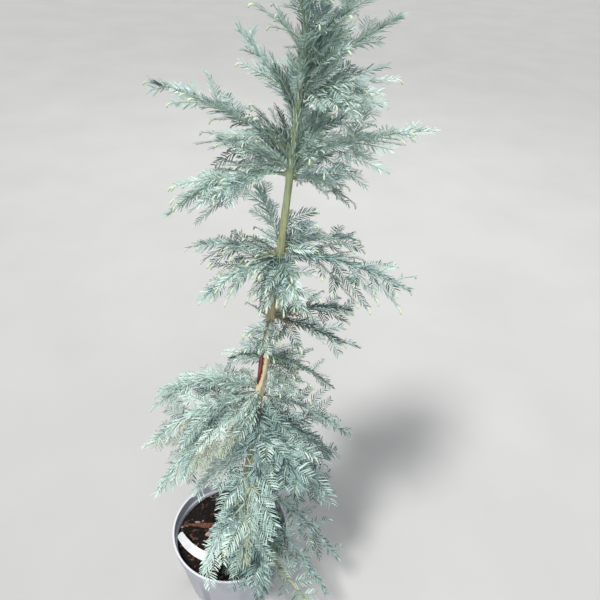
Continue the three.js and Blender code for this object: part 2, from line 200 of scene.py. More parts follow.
# Finer growth than the solids have, tier by tier: needle length, shoots to each one of the solids' and their
# share of its length, needle angle at a shoot's foot and tip, share of shoots that end in a hooked new bud,
# short shoots round each limb's foot, how steeply these climb, and the needles' width over the usual.
Growth = namedtuple("Growth", "needle fine share angle_foot angle_tip buds feet climb slim")
GROWTH = {
    "leader": Growth(14, 2, 0.8, 46, 26, 0.5, 0, 0, 0.72),
    "crown": Growth(17, 3, 0.85, 52, 34, 0.28, 7, 60, 0.78),
    "rising": Growth(18, 3, 0.9, 52, 34, 0.3, 7, 56, 0.78),
    "upper": Growth(17, 3, 0.9, 54, 34, 0.4, 7, 46, 0.82),
    "middle": Growth(15, 3, 0.75, 54, 30, 0.85, 4, 10, 0.9),
    "gap": Growth(14, 3, 0.75, 54, 30, 0.85, 3, 4, 0.9),
    "sparse": Growth(13, 4, 0.85, 60, 34, 0.3, 5, 10, 0.9),
    "weeping": Growth(19, 3, 0.85, 58, 34, 0.1, 5, -4, 0.92),
    "lower": Growth(22, 3, 0.85, 60, 38, 0.05, 4, -10, 0.95),
    "skirt": Growth(23, 3, 0.85, 60, 38, 0.05, 4, -16, 0.95),
    "foot": Growth(20, 3, 0.85, 60, 38, 0.12, 3, -6, 0.95),
}

# Kinds of shoot: radius at foot and tip, the share that is bare, needle length over the tier's, and roll.
# The leader's radius at its foot is the trunk's own.
Kind =namedtuple("Kind", "radii bare size roll", defaults=(0.0,))
KINDS = {
    "limb": Kind((BOUGH_TIP_RADIUS, 0.5), 0.03, 1.3),
    "side": Kind((0.75, 0.4), 0.03, 1.0),
    "twig": Kind((0.55, 0.35), 0.06, 0.82),
    "foot": Kind((0.8, 0.4), 0.12, 0.85, 0.6),
    "dead": Kind((0.8, 0.4), 0.3, 0.45, 0.6),
    "stem": Kind((0.8, 0.4), 0.06, 1.0, 0.4),
    "tuft": Kind((0.8, 0.4), 0.08, 1.0, 0.3),
    "bare": Kind((2.7, 2.1), 0.9, 0.6),
    "curled": Kind((0.7, 0.4), 0.1, 0.9, 0.5),
    "leader": Kind((None, 0.5), 0.04, 1.0),
    "leader_ribs": Kind((0.5, 0.3), 0.04, 0.9, math.pi / 2),
    "leader_side": Kind((0.9, 0.45), 0.04, 1.0, 0.3),
}
OPEN_FINE = 2
THIN_SHARE = 0.66
THIN_CURL = 0.9
THIN_LIFT = 0.8
SLIM_FROM = 0.3
SLIM_END = 0.55
COVERED_FROM = 0.3
FINE_TILT = 1.5
# Shares for the shoots on one side of a limb: 1 for its right side as seen from the trunk, -1 for its left.
SIDE_SHARES = {("foot_front_left", 1): 0.34, ("weeping_left_back", 1): 0.5, ("foot_front", -1): 0.62,
               ("middle_left", 1): 0.5}

# Short shoots round a limb's foot, and the climbing ones between the crown's tiers.
FOOT_SHOOT = 48
FOOT_SHOOT_STEEP = 0.9
FOOT_SHOOT_SPREAD = 118
FOOT_SHOOT_SPREAD_LOW = 190
FOOT_SHOOT_SUNK = 0.6
DEAD_FEET = 2
STEM_SHOOTS = 30
STEM_SHOOTS_FROM = 1120
STEM_SHOOTS_TO = TRUNK_TOP - 10
STEM_SHOOT = 74
STEM_SHOOT_TAPER = 0.35
STEM_SHOOT_CLIMB = 50

# Tufts straight from the trunk beside a limb: height, heading, spread, climb (degrees), count and reach.
TUFTS = {
    "middle_front": ((862, -98, 84, -26, 9, 68), (905, 2, 40, 22, 2, 40)),
    "rising_front": ((1080, -6, 56, 24, 5, 104),),
    "sparse_back_right": ((638, 2, 120, -2, 6, 88),),
    "foot_front": ((204, -52, 46, -3, 4, 146),),
}
TUFT_OUT = 3
TWIG_STEP = 15
TWIG_FROM = 0.14
TWIG_TO = 0.6
TWIG_SHARE = 0.5
TWIG_SHORTEST = 14
TWIG_ANGLE = 42
TWIG_ANGLE_VARIES = 8
TWIG_LEAST_PARENT = 46
THICK_TWIG = 1.2
WOODY, GREEN, BUD, BARE = range(4)

# Needles: the pitch within a rank and the width, each with its growth for a millimetre of length, and how
# they lie along a shoot, on a thin or dead one, on a limb's crest and on the upper trunk.
NEEDLE_PITCH = 2.1
NEEDLE_PITCH_GROWTH = 0.085
NEEDLE_LEAST_COUNT = 6
NEEDLES_TO = 0.985
NEEDLE_WIDTH = 1.45
NEEDLE_WIDTH_GROWTH = 0.045
NEEDLE_LENGTHS = (0.86, 1.12)
NEEDLE_WIDTHS = (0.85, 1.1)
NEEDLE_SWELL_FROM = 0.24
NEEDLE_SWELL_SPAN = 0.58
NEEDLE_ANGLE_VARIES = 4
NEEDLE_ROLL_VARIES = 0.25
NEEDLE_LIFT = 0.16
NEEDLE_CURVE = 0.1
NEEDLE_SWEEP = 0.09
NEEDLE_FOLD = 0.28
THIN_NEEDLE = 0.7
THIN_PITCH = 1.5
DEAD_PITCH = 2.2
CREST_PITCH = 5
CREST_LENGTH = 0.75
CREST_TO = 0.97
CREST_TURN = 1.1
STEM_NEEDLES_FROM = 985
STEM_NEEDLE_COUNT = 520
STEM_NEEDLE_SLIM = 0.8

# Needles stay this far out of the pot's wall and the compost.
POT_CLEARANCE = 4
COMPOST_CLEARANCE = 1

# New buds, with the length of shoot that has a bud of full size.
BUD_LENGTH = 11
BUD_RADIUS = 2.1
BUD_LEAST = 0.5
BUD_FULL_SHOOT = 50
BUD_RINGS = 7
BUD_SIDES = 6

# A bare twig that reaches out low at the front, with small curled shoots.
BARE_TWIG = ((29, 0, 226), (88, -66, 180), (172, -150, 168))
BARE_TWIG_SHOOTS = 12
BARE_TWIG_FROM = 0.12
BARE_TWIG_SPAN = 0.84

# Where the front foliage parts so that the trunk shows: heights on it, and how far to each side.
PARTING = (346, 424)
PARTING_WIDTH = 6.5

# Every limb: the way it heads (degrees, 0 to the right, 90 away), its reach and its rise or fall to the tip.
# A tier's limbs leave the trunk one below the other. A limb's marks mean:
# bough: it has its own bare bough first. pale, shaded, thin: it takes that mix of colours.
# thin: its shoots are also short and curled, with small needles. slim: its shoots shorten towards its tip.
# full: one more fine shoot to each step, each time it is said. open: fewer of them.
# covered: its shoots start nearer the trunk.
TIERS = (
    ("crown", 1285, 22, (
        ("front", -75, 66, 78),
        ("back", 100, 72, 84),
        ("left", 188, 78, 92),
        ("right", 12, 84, 92))),
    ("rising", 1115, 17, (
        ("right_steep", 14, 95, 120),
        ("right", 26, 131, 72, "bough", "slim"),
        ("front", -36, 88, 18),
        ("left", 148, 92, 82, "slim"),
        ("back", 96, 108, 52))),
    ("upper", 1024, 10, (
        ("right_mid", 40, 120, 26),
        ("left_long", 163, 205, 58, "bough", "slim"),
        ("right_long", 8, 186, 41, "bough", "slim", "full", "covered"),
        ("back_left", 137, 152, -14),
        ("left_weeping", 166, 185, -101, "bough", "slim", "full", "full", "covered"),
        ("back_right", 60, 140, -76, "shaded"))),
    ("middle", 872, 5, (
        # back is pale as painted light, where the tier above shades it.
        ("back", 125, 68, 62, "pale"),
        ("right_back", 36, 130, -18),
        ("right", -6, 190, -37, "bough"),
        ("left", 166, 130, -10, "bough", "full", "covered"),
        ("left_low", -160, 106, -46, "pale", "full", "covered"),
        ("front", -68, 104, -14))),
    ("gap", 750, 5, (
        ("right_back", 24, 138, -26, "bough"),
        ("right", -22, 120, -8),
        ("front", -100, 64, -6),
        ("back", 84, 84, -62, "shaded"))),
    ("sparse", 660, 8, (
        ("right", 4, 118, -70, "thin"),
        ("left", 136, 92, -62),
        ("back_right", 62, 120, -108, "thin"))),
    ("weeping", 586, 7, (
        ("left_back", 151, 220, -128, "bough", "pale", "covered"),
        ("left", -172, 205, -132, "bough", "pale", "slim", "covered"),
        ("right", 2, 164, -98, "thin"),
        ("left_front", -158, 192, -198, "bough", "pale", "slim", "covered"))),
    ("lower", 548, 12, (
        ("front", -84, 124, -44),
        ("right", -14, 134, -72, "shaded"),
        ("front_right", -54, 150, -48))),
    ("skirt", 450, 12, (
        ("right", -8, 156, -112, "shaded"),
        ("left", -150, 104, -66, "pale", "slim"),
        ("front", -88, 150, -124),
        ("back", 88, 132, -128, "shaded"))),
    ("foot", 330, 16, (
        ("right", -16, 204, -160, "bough", "thin", "open"),
        ("back_right", 48, 140, -84, "shaded"),
        ("front_left", -116, 142, -80, "pale"),
        ("front_right", -34, 216, -128, "thin", "slim", "open"),
        ("front", -70, 176, -34))),
)

# Needle colours as they look in even light, red, green and blue from 0 to 255, from frosted to shaded.
NEEDLE_TONES = {
    "frosted": (203, 222, 216),
    "mint": (166, 191, 184),
    "blue": (135, 160, 158),
    "teal": (76, 97, 94),
    "olive": (170, 182, 162),
    "dead": (146, 124, 106),
}
FROSTED, MINT, BLUE, TEAL, OLIVE, DEAD = range(len(NEEDLE_TONES))

# Shares of the first five colours among the sprays of a limb, and the tiers with a mix of their own.
MIXES = {
    "even": (0.16, 0.32, 0.32, 0.18, 0.02),
    "pale": (0.24, 0.3, 0.16, 0.06, 0.24),
    "shaded": (0.05, 0.21, 0.34, 0.37, 0.03),
    "thin": (0.06, 0.2, 0.36, 0.34, 0.04),
    "blue": (0.07, 0.23, 0.37, 0.31, 0.02),
    "grey": (0.12, 0.28, 0.28, 0.2, 0.12),
}
TIER_MIXES = {"middle": "blue", "gap": "blue", "foot": "grey"}
# How far the shares of a tier, or of one limb, are moved towards the frosted end: partly the needles' own
# frosted colour, partly painted light that makes the crown's tiers and middle_back paler where they lie in
# shade.
FROST_AND_PAINTED_LIGHT = {
    "leader": 0.3, "crown": 0.3, "rising": 0.34, "upper": 0.16,
    "rising_left": 0.1, "upper_left_long": 0, "upper_right_long": 0.3, "upper_right_mid": 0.26,
    "upper_left_weeping": 0.1, "middle_back": 0.6, "middle_right": 0.09, "foot_front_left": 0.35,
    "skirt_left": 0.42,
}
# How much a spray's tilt sets its colour, as painted light above and painted shade below.
TILT_SHADE_SHARE = 0.5
TONE_STEP = 0.18
# Share of needles near a shoot's foot that go one step darker, as painted shade.
FOOT_SHADE_STEP = 0.3


def colour(red, green, blue):
    """A colour in light values, from the values it shows on a screen."""
    return tuple((v / 12.92 if v <= 0.04045 else ((v + 0.055) / 1.055) ** 2.4)
                 for v in (red / 255, green / 255, blue / 255)) + (1.0,)


def unit(v):
    return v / np.linalg.norm(v, axis=-1, keepdims=True)


def aimed(heading, climb):
    """A direction from its heading and climb in degrees."""
    turn, lift = math.radians(heading), math.radians(climb)
    return np.array([math.cos(turn) * math.cos(lift), math.sin(turn) * math.cos(lift), math.sin(lift)])


def chance(n, k):
    """A repeatable number from 0 to 1 for the k-th draw of the n-th limb."""
    wave = math.sin(n * 12.9898 + k * 78.233) * 43758.5453
    return wave - math.floor(wave)


def between(low, high, n, k):
    """A repeatable number between two limits."""
    return low + (high - low) * chance(n, k)


def side_of(i):
    """1 and -1 by turns."""
    return 1 if i % 2 == 0 else -1


# Shapes of the trunk and limbs

def trunk_at(height):
    """Trunk centre line at a height, or at an array of heights."""
    height = np.asarray(height, float)
    u = height / 1000
    return np.stack((LEAN * u - LEAN_EASED * u ** 5, np.zeros_like(u), height), -1)


def trunk_radius(height):
    height = np.asarray(height, float)
    t = np.clip((height - COMPOST_TOP) / (LEADER_TOP - COMPOST_TOP), 0, 1)
    flare = FLARE * np.exp(-(height - COMPOST_TOP) / FLARE_HEIGHT)
    return TRUNK_TIP_RADIUS + (TRUNK_BASE_RADIUS - TRUNK_TIP_RADIUS) * (1 - t ** TAPER_POWER) + flare


def arc_line(start, bend, tip):
    """A quadratic curve as a function of shares of its length, and that length."""
    start, bend, tip = (np.asarray(p, float) for p in (start, bend, tip))
    def raw(u):
        u = np.asarray(u, float)[..., None]
        return (1 - u) ** 2 * start + 2 * u * (1 - u) * bend + u * u * tip
    steps = np.linspace(0, 1, 201)
    gone = np.concatenate(([0], np.cumsum(np.linalg.norm(np.diff(raw(steps), axis=0), axis=1))))
    return (lambda t: raw(np.interp(np.asarray(t, float) * gone[-1], gone, steps))), gone[-1]


def limb_line(height, heading, reach, rise):
    start = trunk_at(height)
    tip = start + aimed(heading, 0) * reach + UP * rise
    fall = min(1, max(0, -rise / reach))
    arch = (ARCH_LEAST + ARCH_WEEPING * fall) * math.hypot(reach, rise)
    return arc_line(start, (start + tip) / 2 + UP * 2 * arch, tip)


def directions(line, t, roll=0.0, reference=UP):
    """Directions along, across and over a line at an array of shares, turned by roll."""
    nudge = 0.01
    t = np.asarray(t, float)
    along = unit(line(np.minimum(1, t + nudge)) - line(np.maximum(0, t - nudge)))
    across = unit(np.cross(along, reference))
    over = np.cross(across, along)
    c, s = math.cos(roll), math.sin(roll)
    return along, c * across - s * over, c * over + s * across


def all_limbs():
    limbs = []
    for tier, top, step, rows in TIERS:
        for i, (name, heading, reach, rise, *marks) in enumerate(rows):
            height = top - i * step
            line, length = limb_line(height, heading, reach, rise)
            mix = next((mark for mark in marks if mark in MIXES), TIER_MIXES.get(tier, "even"))
            limbs.append(SimpleNamespace(name=f"{tier}_{name}", tier=tier, number=len(limbs), line=line,
                                         length=length, height=height, heading=heading, marks=marks, mix=mix))
    return limbs


# Shoots

def shoot(limb, kind, line, length, tone, **other):
    """One shoot as a record, with any other value that it has in place of its kind's."""
    growth, form, thin = GROWTH[limb.tier], KINDS[kind], "thin" in limb.marks
    each = SimpleNamespace(kind=kind, line=line, length=length, tone=tone, reference=UP, slim=growth.slim,
                           needle=growth.needle * form.size * (THIN_NEEDLE if thin else 1),
                           pitch=DEAD_PITCH if tone == DEAD else THIN_PITCH if thin else 1,
                           angles=(growth.angle_foot, growth.angle_tip),
                           buds=0 if tone == DEAD else growth.buds,
                           radii=form.radii, bare=form.bare, roll=form.roll)
    vars(each).update(other)
    return each


def drooping(root, way, reach, bend=0.0):
    """A shoot's line, straight out and then down as it sags, and forward as it bends."""
    def line(t):
        t = np.asarray(t, float)[..., None]
        return root + way * reach * t + (bend - UP * SHOOT_SAG) * reach * t * t
    return line


def spray_tone(limb, k, lift=None):
    """The colour of a whole spray, drawn by the limb's shares. lift (0 to 1), the spray's tilt, gives
    upturned sprays paler colours as painted light and downturned ones darker colours as painted shade.
    """
    draw = chance(limb.number, k + TONE_DRAW)
    if lift is not None:
        draw = (1 - TILT_SHADE_SHARE) * draw + TILT_SHADE_SHARE * (1 - lift)
    draw = max(0, draw - FROST_AND_PAINTED_LIGHT.get(limb.name, FROST_AND_PAINTED_LIGHT.get(limb.tier, 0)))
    return int(np.searchsorted(np.cumsum(MIXES[limb.mix]), draw))


def limb_shoots(limb):
    """The limb's own shoot, its side shoots with their twigs, and the shoots and tufts round its foot."""
    growth, length = GROWTH[limb.tier], limb.length
    root = float(trunk_radius(limb.height)) / length
    bare, start = (0.5 * BARE_SHARE, BARE_SHARE) if "bough" in limb.marks else (root, root)
    shoots = [shoot(limb, "limb", limb.line, length, spray_tone(limb, 0), bare=bare + KINDS["limb"].bare)]
    start = start * length + SHOOT_FROM
    if "covered" in limb.marks:
        start *= COVERED_FROM
    end = (STEM_SHARE + SHOOTS_PAST_STEM) * length
    count = max(2, int(math.floor((end - start) / SHOOT_STEP + 0.5)))
    fine = OPEN_FINE if "open" in limb.marks else growth.fine + limb.marks.count("full")
    for j in range(-1, fine * (count - 1) + 4):
        k = j / fine
        share = (start + (end - start) * k / (count - 1)) / length
        if 0 <= share <= 1:
            shoots += side_shoots(limb, k, side_of(j), share, 1.0 if j % fine == 0 else growth.share)
    return shoots + foot_shoots(limb) + trunk_tufts(limb)


def side_shoots(limb, k, side, share, scale):
    """One side shoot of a limb, with its twigs."""
    n = limb.number
    along, across, over = directions(limb.line, share)
    swell = math.sin(math.pi * min(SHOOT_SWELL_END, SHOOT_SWELL_FROM + SHOOT_SWELL_SPAN * share))
    luck = between(1 - SHOOT_LENGTH_VARIES, 1 + SHOOT_LENGTH_VARIES, n, k)
    reach = min(SHOOT_LONGEST, scale * max(SHOOT_SHORTEST, SHOOT_SHARE * limb.length * swell * luck))
    reach *= SIDE_SHARES.get((limb.name, side), 1) * (THIN_SHARE if "thin" in limb.marks else 1)
    if "slim" in limb.marks:
        reach *= 1 - (1 - SLIM_END) * min(1, max(0, (share - SLIM_FROM) / (STEM_SHARE - SLIM_FROM)))
    angle = math.radians(between(SHOOT_ANGLE - SHOOT_ANGLE_VARIES, SHOOT_ANGLE + SHOOT_ANGLE_VARIES,
                                 n, k + ANGLE_DRAW))
    lift = chance(n, k + TILT_DRAW)
    tilt = SHOOT_TILT * (FINE_TILT if scale < 1 else 1) * (lift - SHOOT_TILT_DOWN)
    way = unit(along * math.cos(angle) + across * side * math.sin(angle) + over * tilt)
    bend = along * SHOOT_BEND * between(0.5, 1.5, n, k + BEND_DRAW)
    if "thin" in limb.marks:
        bend += THIN_CURL * (across * between(-0.5, 0.5, n, k + CURL_DRAW)
                             + UP * THIN_LIFT * chance(n, k + LIFT_DRAW))
    # The spray's tilt also sets its colour, as painted light and shade.
    stem = shoot(limb, "side", drooping(limb.line(share), way, reach, bend), reach, spray_tone(limb, k, lift),
                 roll=SHOOT_ROLL * between(-0.5, 0.5, n, k + ROLL_DRAW))
    return [stem] + twigs_on(limb, stem, k)


def trunk_shoot(limb, kind, height, heading, climb, reach, tone, out=None):
    """A shoot that springs from the trunk, or from a little way out of its centre line."""
    way = aimed(heading, climb)
    if out is None:
        out = FOOT_SHOOT_SUNK * float(trunk_radius(height))
    return shoot(limb, kind, drooping(trunk_at(height) + way * out, way, reach), reach, tone)


def foot_shoots(limb):
    """Short shoots that spring from the trunk all round a limb's foot."""
    n, growth, shoots = limb.number, GROWTH[limb.tier], []
    turn = FOOT_SHOOT_SPREAD if growth.climb > 0 else FOOT_SHOOT_SPREAD_LOW
    for i in range(growth.feet):
        k = FOOT_DRAW + i
        heading = limb.heading + turn * ((i + 0.5) / growth.feet - 0.5 + between(-0.15, 0.15, n, k + 10))
        climb = growth.climb + between(-13, 13, n, k + 20)
        reach = FOOT_SHOOT * between(0.75, 1.25, n, k + 30)
        reach *= 1 + FOOT_SHOOT_STEEP * max(0, growth.climb) / 90
        height = limb.height + between(-2.7, 6.3, n, k)
        dead = limb.tier == "gap" and i < DEAD_FEET
        kind, tone = ("dead", DEAD) if dead else ("foot", spray_tone(limb, k))
        shoots.append(trunk_shoot(limb, kind, height, heading, climb, reach, tone))
    return shoots


def stem_shoots(limb):
    """Shoots that climb all round the trunk between the crown's tiers, shorter towards its tip."""
    n, shoots = limb.number, []
    for i in range(STEM_SHOOTS):
        k = STEM_DRAW + i
        up = (i + chance(n, k)) / STEM_SHOOTS
        height = STEM_SHOOTS_FROM + (STEM_SHOOTS_TO - STEM_SHOOTS_FROM) * up
        climb = STEM_SHOOT_CLIMB + between(-10, 10, n, k + 20)
        reach = STEM_SHOOT * (1 - STEM_SHOOT_TAPER * up) * between(0.8, 1.2, n, k + 30)
        stem = trunk_shoot(limb, "stem", height, GOLDEN_TURN * i, climb, reach, spray_tone(limb, k))
        shoots += [stem] + twigs_on(limb, stem, k)
    return shoots


def trunk_tufts(limb):
    """Tufts of shoots that hide the trunk or stand off it beside a limb."""
    n, shoots = limb.number, []
    for height, heading, spread, climb, count, reach in TUFTS.get(limb.name, ()):
        for i in range(count):
            k = height + i
            stem = trunk_shoot(limb, "tuft", height + between(-6, 6, n, k + 50),
                               heading + spread * ((i + 0.5) / count - 0.5), climb + between(-12, 12, n, k),
                               reach * between(0.8, 1.2, n, k + 30), spray_tone(limb, k), TUFT_OUT)
            shoots += [stem] + twigs_on(limb, stem, k)
    return shoots


def bare_twig(limb):
    """A long bare twig low at the front, with small curled shoots along it."""
    n = limb.number
    line, length = arc_line(*BARE_TWIG)
    shoots = [shoot(limb, "bare", line, length, OLIVE)]
    for i in range(BARE_TWIG_SHOOTS):
        share = BARE_TWIG_FROM + BARE_TWIG_SPAN * i / BARE_TWIG_SHOOTS
        along, across, over = directions(line, share)
        across = across * side_of(i)
        way = unit(along + across * 0.8 + over * 0.5 * chance(n, BARE_DRAW + i))
        reach = between(24, 50, n, BARE_DRAW + 10 + i)
        curl = across * 0.5 * between(-0.3, 0.7, n, BARE_DRAW + 20 + i) + UP * 0.6
        tone = MINT if i % 2 else BLUE
        shoots.append(shoot(limb, "curled", drooping(line(share), way, reach, curl), reach, tone))
    return shoots


def twigs_on(limb, parent, k):
    """Twigs in the plane of a longer shoot, left and right by turns and shorter towards its tip."""
    if parent.length < TWIG_LEAST_PARENT:
        return []
    n, twigs = limb.number, []
    count = int((TWIG_TO - TWIG_FROM) * parent.length / TWIG_STEP)
    for i in range(count):
        share = TWIG_FROM + (TWIG_TO - TWIG_FROM) * (i + 0.3 * chance(n, k * 7 + i)) / count
        along, across, over = directions(parent.line, share, parent.roll)
        angle = math.radians(TWIG_ANGLE + TWIG_ANGLE_VARIES * between(-0.5, 0.5, n + i, k))
        way = along * math.cos(angle) + across * side_of(i) * math.sin(angle)
        way = unit(way + over * 0.3 * between(-0.5, 0.5, n + i, k + 3))
        reach = TWIG_SHARE * parent.length * (1 - share) * between(0.8, 1.2, n, k * 5 + i)
        reach = max(TWIG_SHORTEST, reach)
        line = drooping(parent.line(share), way, reach)
        twigs.append(shoot(limb, "twig", line, reach, parent.tone, roll=parent.roll))
    return twigs


def leader_shoots():
    """The leader above the trunk's tip, with shoots all round it."""
    leader = SimpleNamespace(name="leader", tier="leader", number=0, marks=(), mix="even")
    height = LEADER_TOP - TRUNK_TOP
    def line(t):
        return trunk_at(TRUNK_TOP - 2 + (height + 2) * np.asarray(t, float))
    radii = (float(trunk_radius(TRUNK_TOP)), KINDS["leader"].radii[1])
    shoots = [shoot(leader, "leader", line, height, MINT, reference=AWAY, radii=radii),
              shoot(leader, "leader_ribs", line, height, FROSTED, reference=AWAY)]
    for j in range(2 * LEADER_SHOOTS):
        k = j / 2
        up = k / LEADER_SHOOTS
        way = aimed(LEADER_FIRST_HEADING + GOLDEN_TURN * k, LEADER_SHOOT_CLIMB)
        reach = LEADER_SHOOT * (1 - LEADER_SHOOT_TAPER * up)
        root = line(LEADER_SHOOT_FROM + LEADER_SHOOT_SPAN * up)
        stem = shoot(leader, "leader_side", drooping(root, way, reach), reach, spray_tone(leader, j))
        shoots += [stem] + twigs_on(leader, stem, k)
    return shoots


# Needles: arrays of roots, ways, upper sides, lengths, widths, sweeps and colours

def needle_width(length):
    return NEEDLE_WIDTH + NEEDLE_WIDTH_GROWTH * length


def square_to(way, side):
    """The part of a side that is square to a way, as a unit direction."""
    return unit(side - way * np.sum(side * way, 1, keepdims=True))


def needle_rows(each, draws):
    """The two ranks of needles along one shoot."""
    pitch = (NEEDLE_PITCH + NEEDLE_PITCH_GROWTH * each.needle) * (1 + each.slim) / 2 * each.pitch
    count = max(NEEDLE_LEAST_COUNT, int(2 * each.length * (1 - each.bare) / pitch))
    place = np.arange(count)
    t = each.bare + (NEEDLES_TO - each.bare) * (place + 0.5 * draws.random(count)) / count
    along, across, over = directions(each.line, t, each.roll, each.reference)
    side = np.where(place % 2 == 0, 1.0, -1.0)[:, None]
    foot, tip = each.angles
    angle = np.radians(foot + (tip - foot) * t + draws.normal(0, NEEDLE_ANGLE_VARIES, count))[:, None]
    lift = (NEEDLE_LIFT * draws.normal(0.3, 0.8, count))[:, None]
    way = unit(along * np.cos(angle) + across * side * np.sin(angle) + over * lift)
    face = square_to(way, over + across * draws.normal(0, NEEDLE_ROLL_VARIES, count)[:, None])
    swell = np.sin(math.pi * (NEEDLE_SWELL_FROM + NEEDLE_SWELL_SPAN * t))
    length = each.needle * swell * draws.uniform(*NEEDLE_LENGTHS, count)
    width = needle_width(length) * each.slim * draws.uniform(*NEEDLE_WIDTHS, count)
    tone = needle_tones(each.tone, t, draws)
    return each.line(t), way, face, length, width, side[:, 0] * NEEDLE_SWEEP, tone


def needle_tones(tone, t, draws):
    """The spray's colour for most needles, one step lighter or darker for some, and darker at the foot as
    painted shade.
    """
    tones = np.full(len(t), tone)
    if tone in (OLIVE, DEAD):
        return tones
    draw = draws.random(len(t))
    darker = draw > 1 - TONE_STEP - FOOT_SHADE_STEP * (t < 0.2)
    return np.clip(tones + darker.astype(int) - (draw < TONE_STEP).astype(int), FROSTED, TEAL)


def crest_rows(each, draws):
    """Shorter needles that lie forward along the top of a limb and hide its stem."""
    count = int(each.length * (1 - each.bare) / CREST_PITCH) * 3
    t = each.bare + (CREST_TO - each.bare) * np.sort(draws.random(count))
    along, across, over = directions(each.line, t, each.roll, each.reference)
    turn = draws.uniform(-CREST_TURN, CREST_TURN, count)[:, None]
    outward = over * np.cos(turn) + across * np.sin(turn)
    way = unit(along + outward * draws.uniform(0.3, 0.7, count)[:, None])
    length = CREST_LENGTH * each.needle * draws.uniform(0.7, 1.1, count)
    width = needle_width(length) * each.slim
    tone = needle_tones(each.tone, t, draws)
    return each.line(t), way, square_to(way, outward), length, width, np.zeros(count), tone


def stem_rows(draws):
    """Needles pressed up along the young upper trunk."""
    count = STEM_NEEDLE_COUNT
    height = np.sort(draws.uniform(STEM_NEEDLES_FROM, TRUNK_TOP, count))
    turn = np.radians(GOLDEN_TURN) * np.arange(count)
    outward = np.stack((np.cos(turn), np.sin(turn), np.zeros(count)), -1)
    way = unit(UP + outward * draws.uniform(0.25, 0.6, count)[:, None])
    root = trunk_at(height) + outward * (trunk_radius(height) - 0.3)[:, None]
    length = draws.uniform(11, 19, count)
    width = STEM_NEEDLE_SLIM * needle_width(length)
    tone = draws.choice((FROSTED, MINT, BLUE, OLIVE), count, p=(0.2, 0.4, 0.2, 0.2))
    return root, way, square_to(way, outward), length, width, np.zeros(count), tone


def outside(root, way, length):
    """True for needles that stay out of the pot, the compost and the trunk."""
    tip = root + way * length[:, None]
    far = np.hypot(tip[:, 0], tip[:, 1])
    buried = (far < POT_RIM_RADIUS - POT_CLEARANCE) & (tip[:, 2] < COMPOST_TOP + COMPOST_CLEARANCE)
    wall = (np.abs(far - (POT_RIM_RADIUS - POT_WALL)) < POT_CLEARANCE) & (tip[:, 2] < POT_HEIGHT + 1)
    height = np.clip(tip[:, 2], COMPOST_TOP, TRUNK_TOP)
    stem = np.linalg.norm(tip - trunk_at(height), axis=1) < trunk_radius(height) + 0.5
    return ~(buried | wall | stem | in_parting(root) | in_parting(tip))


def in_parting(spots):
    """True where foliage in front of the trunk would hide the length of it that shows."""
    eye = np.array(CAMERA_PLACE) / MM
    share = -eye[1] / np.minimum(spots[:, 1] - eye[1], -0.01 - eye[1])
    seen = eye + (spots - eye) * share[:, None]
    aside = np.abs(seen[:, 0] - trunk_at(seen[:, 2])[:, 0])
    low, high = PARTING
    return (spots[:, 1] < 0) & (seen[:, 2] > low) & (seen[:, 2] < high) & (aside < PARTING_WIDTH)


def needle_mesh(rows):
    """Points, corners, corner counts and colours of folded, pointed blades."""
    root, way, face, length, width, sweep, tone = rows
    across = np.cross(way, face)
    count = len(root)
    length, width, sweep = length[:, None], width[:, None], sweep[:, None]
    def section(share, wide, bow):
        bent = (face * NEEDLE_CURVE + across * sweep) * length * bow
        fold = face * (NEEDLE_FOLD * width * wide * 0.5)
        half = across * width * wide * 0.5
        middle = root + way * length * share - fold + bent
        return middle - half + fold, middle, middle + half + fold
    near = section(0.2, 0.95, 0.6)
    far = section(0.76, 0.8, 0.5)
    tip = root + way * length - face * length * NEEDLE_CURVE * 0.3
    spots = np.stack((root, *near, *far, tip), 1).reshape(-1, 3)
    base = (np.arange(count) * 8)[:, None]
    pattern = np.array([0, 2, 1, 0, 3, 2, 1, 2, 5, 4, 2, 3, 6, 5, 4, 5, 7, 5, 6, 7])
    return spots, (base + pattern).ravel(), np.tile([3, 3, 4, 4, 3, 3], count), np.repeat(tone, 6)


# Meshes: points, corners, corner counts and, where a piece is whole, the material slot of each face

def ring_quads(rings, sides, flipped=False):
    """Corners of the quads between rings of points that each close on themselves."""
    i, j = np.meshgrid(np.arange(rings - 1), np.arange(sides), indexing="ij")
    a, b = i * sides + j, i * sides + (j + 1) % sides
    return np.stack((a, b, b + sides, a + sides) if flipped else (a, a + sides, b + sides, b), -1).reshape(-1)


def capped(rings, sides, flipped=False):
    """Corners and counts of rings of points, closed at each end by one of the two points that follow them."""
    here, after = np.arange(sides), (np.arange(sides) + 1) % sides
    one, two = (after, here) if flipped else (here, after)
    last = (rings - 1) * sides
    first_end = np.stack((np.full(sides, rings * sides), one, two), -1).reshape(-1)
    last_end = np.stack((np.full(sides, rings * sides + 1), last + two, last + one), -1).reshape(-1)
    sizes = np.repeat((4, 3), (last, 2 * sides))
    return np.concatenate((ring_quads(rings, sides, flipped), first_end, last_end)), sizes


def slotted(mesh, slot=0):
    """A mesh with one material slot for all its faces."""
    return (*mesh, np.full(len(mesh[2]), slot))


def tube(line, radii, rings, sides, reference=UP, relief=None):
    """A tube with closed ends. relief adds to the radius at each ring and turn."""
    t = np.linspace(0, 1, rings)
    along, across, over = directions(line, t, 0.0, reference)
    turn = np.linspace(0, 2 * math.pi, sides, endpoint=False)
    radius = np.asarray(radii(t))[:, None] + (relief(t, turn) if relief else 0.0)
    out = across[:, None] * np.cos(turn)[None, :, None] + over[:, None] * np.sin(turn)[None, :, None]
    spots = (line(t)[:, None] + out * radius[..., None]).reshape(-1, 3)
    ends = np.concatenate((np.arange(sides), np.arange(sides)[::-1] + (rings - 1) * sides))
    sizes = np.repeat((4, sides), ((rings - 1) * sides, 2))
    return spots, np.concatenate((ring_quads(rings, sides), ends)), sizes


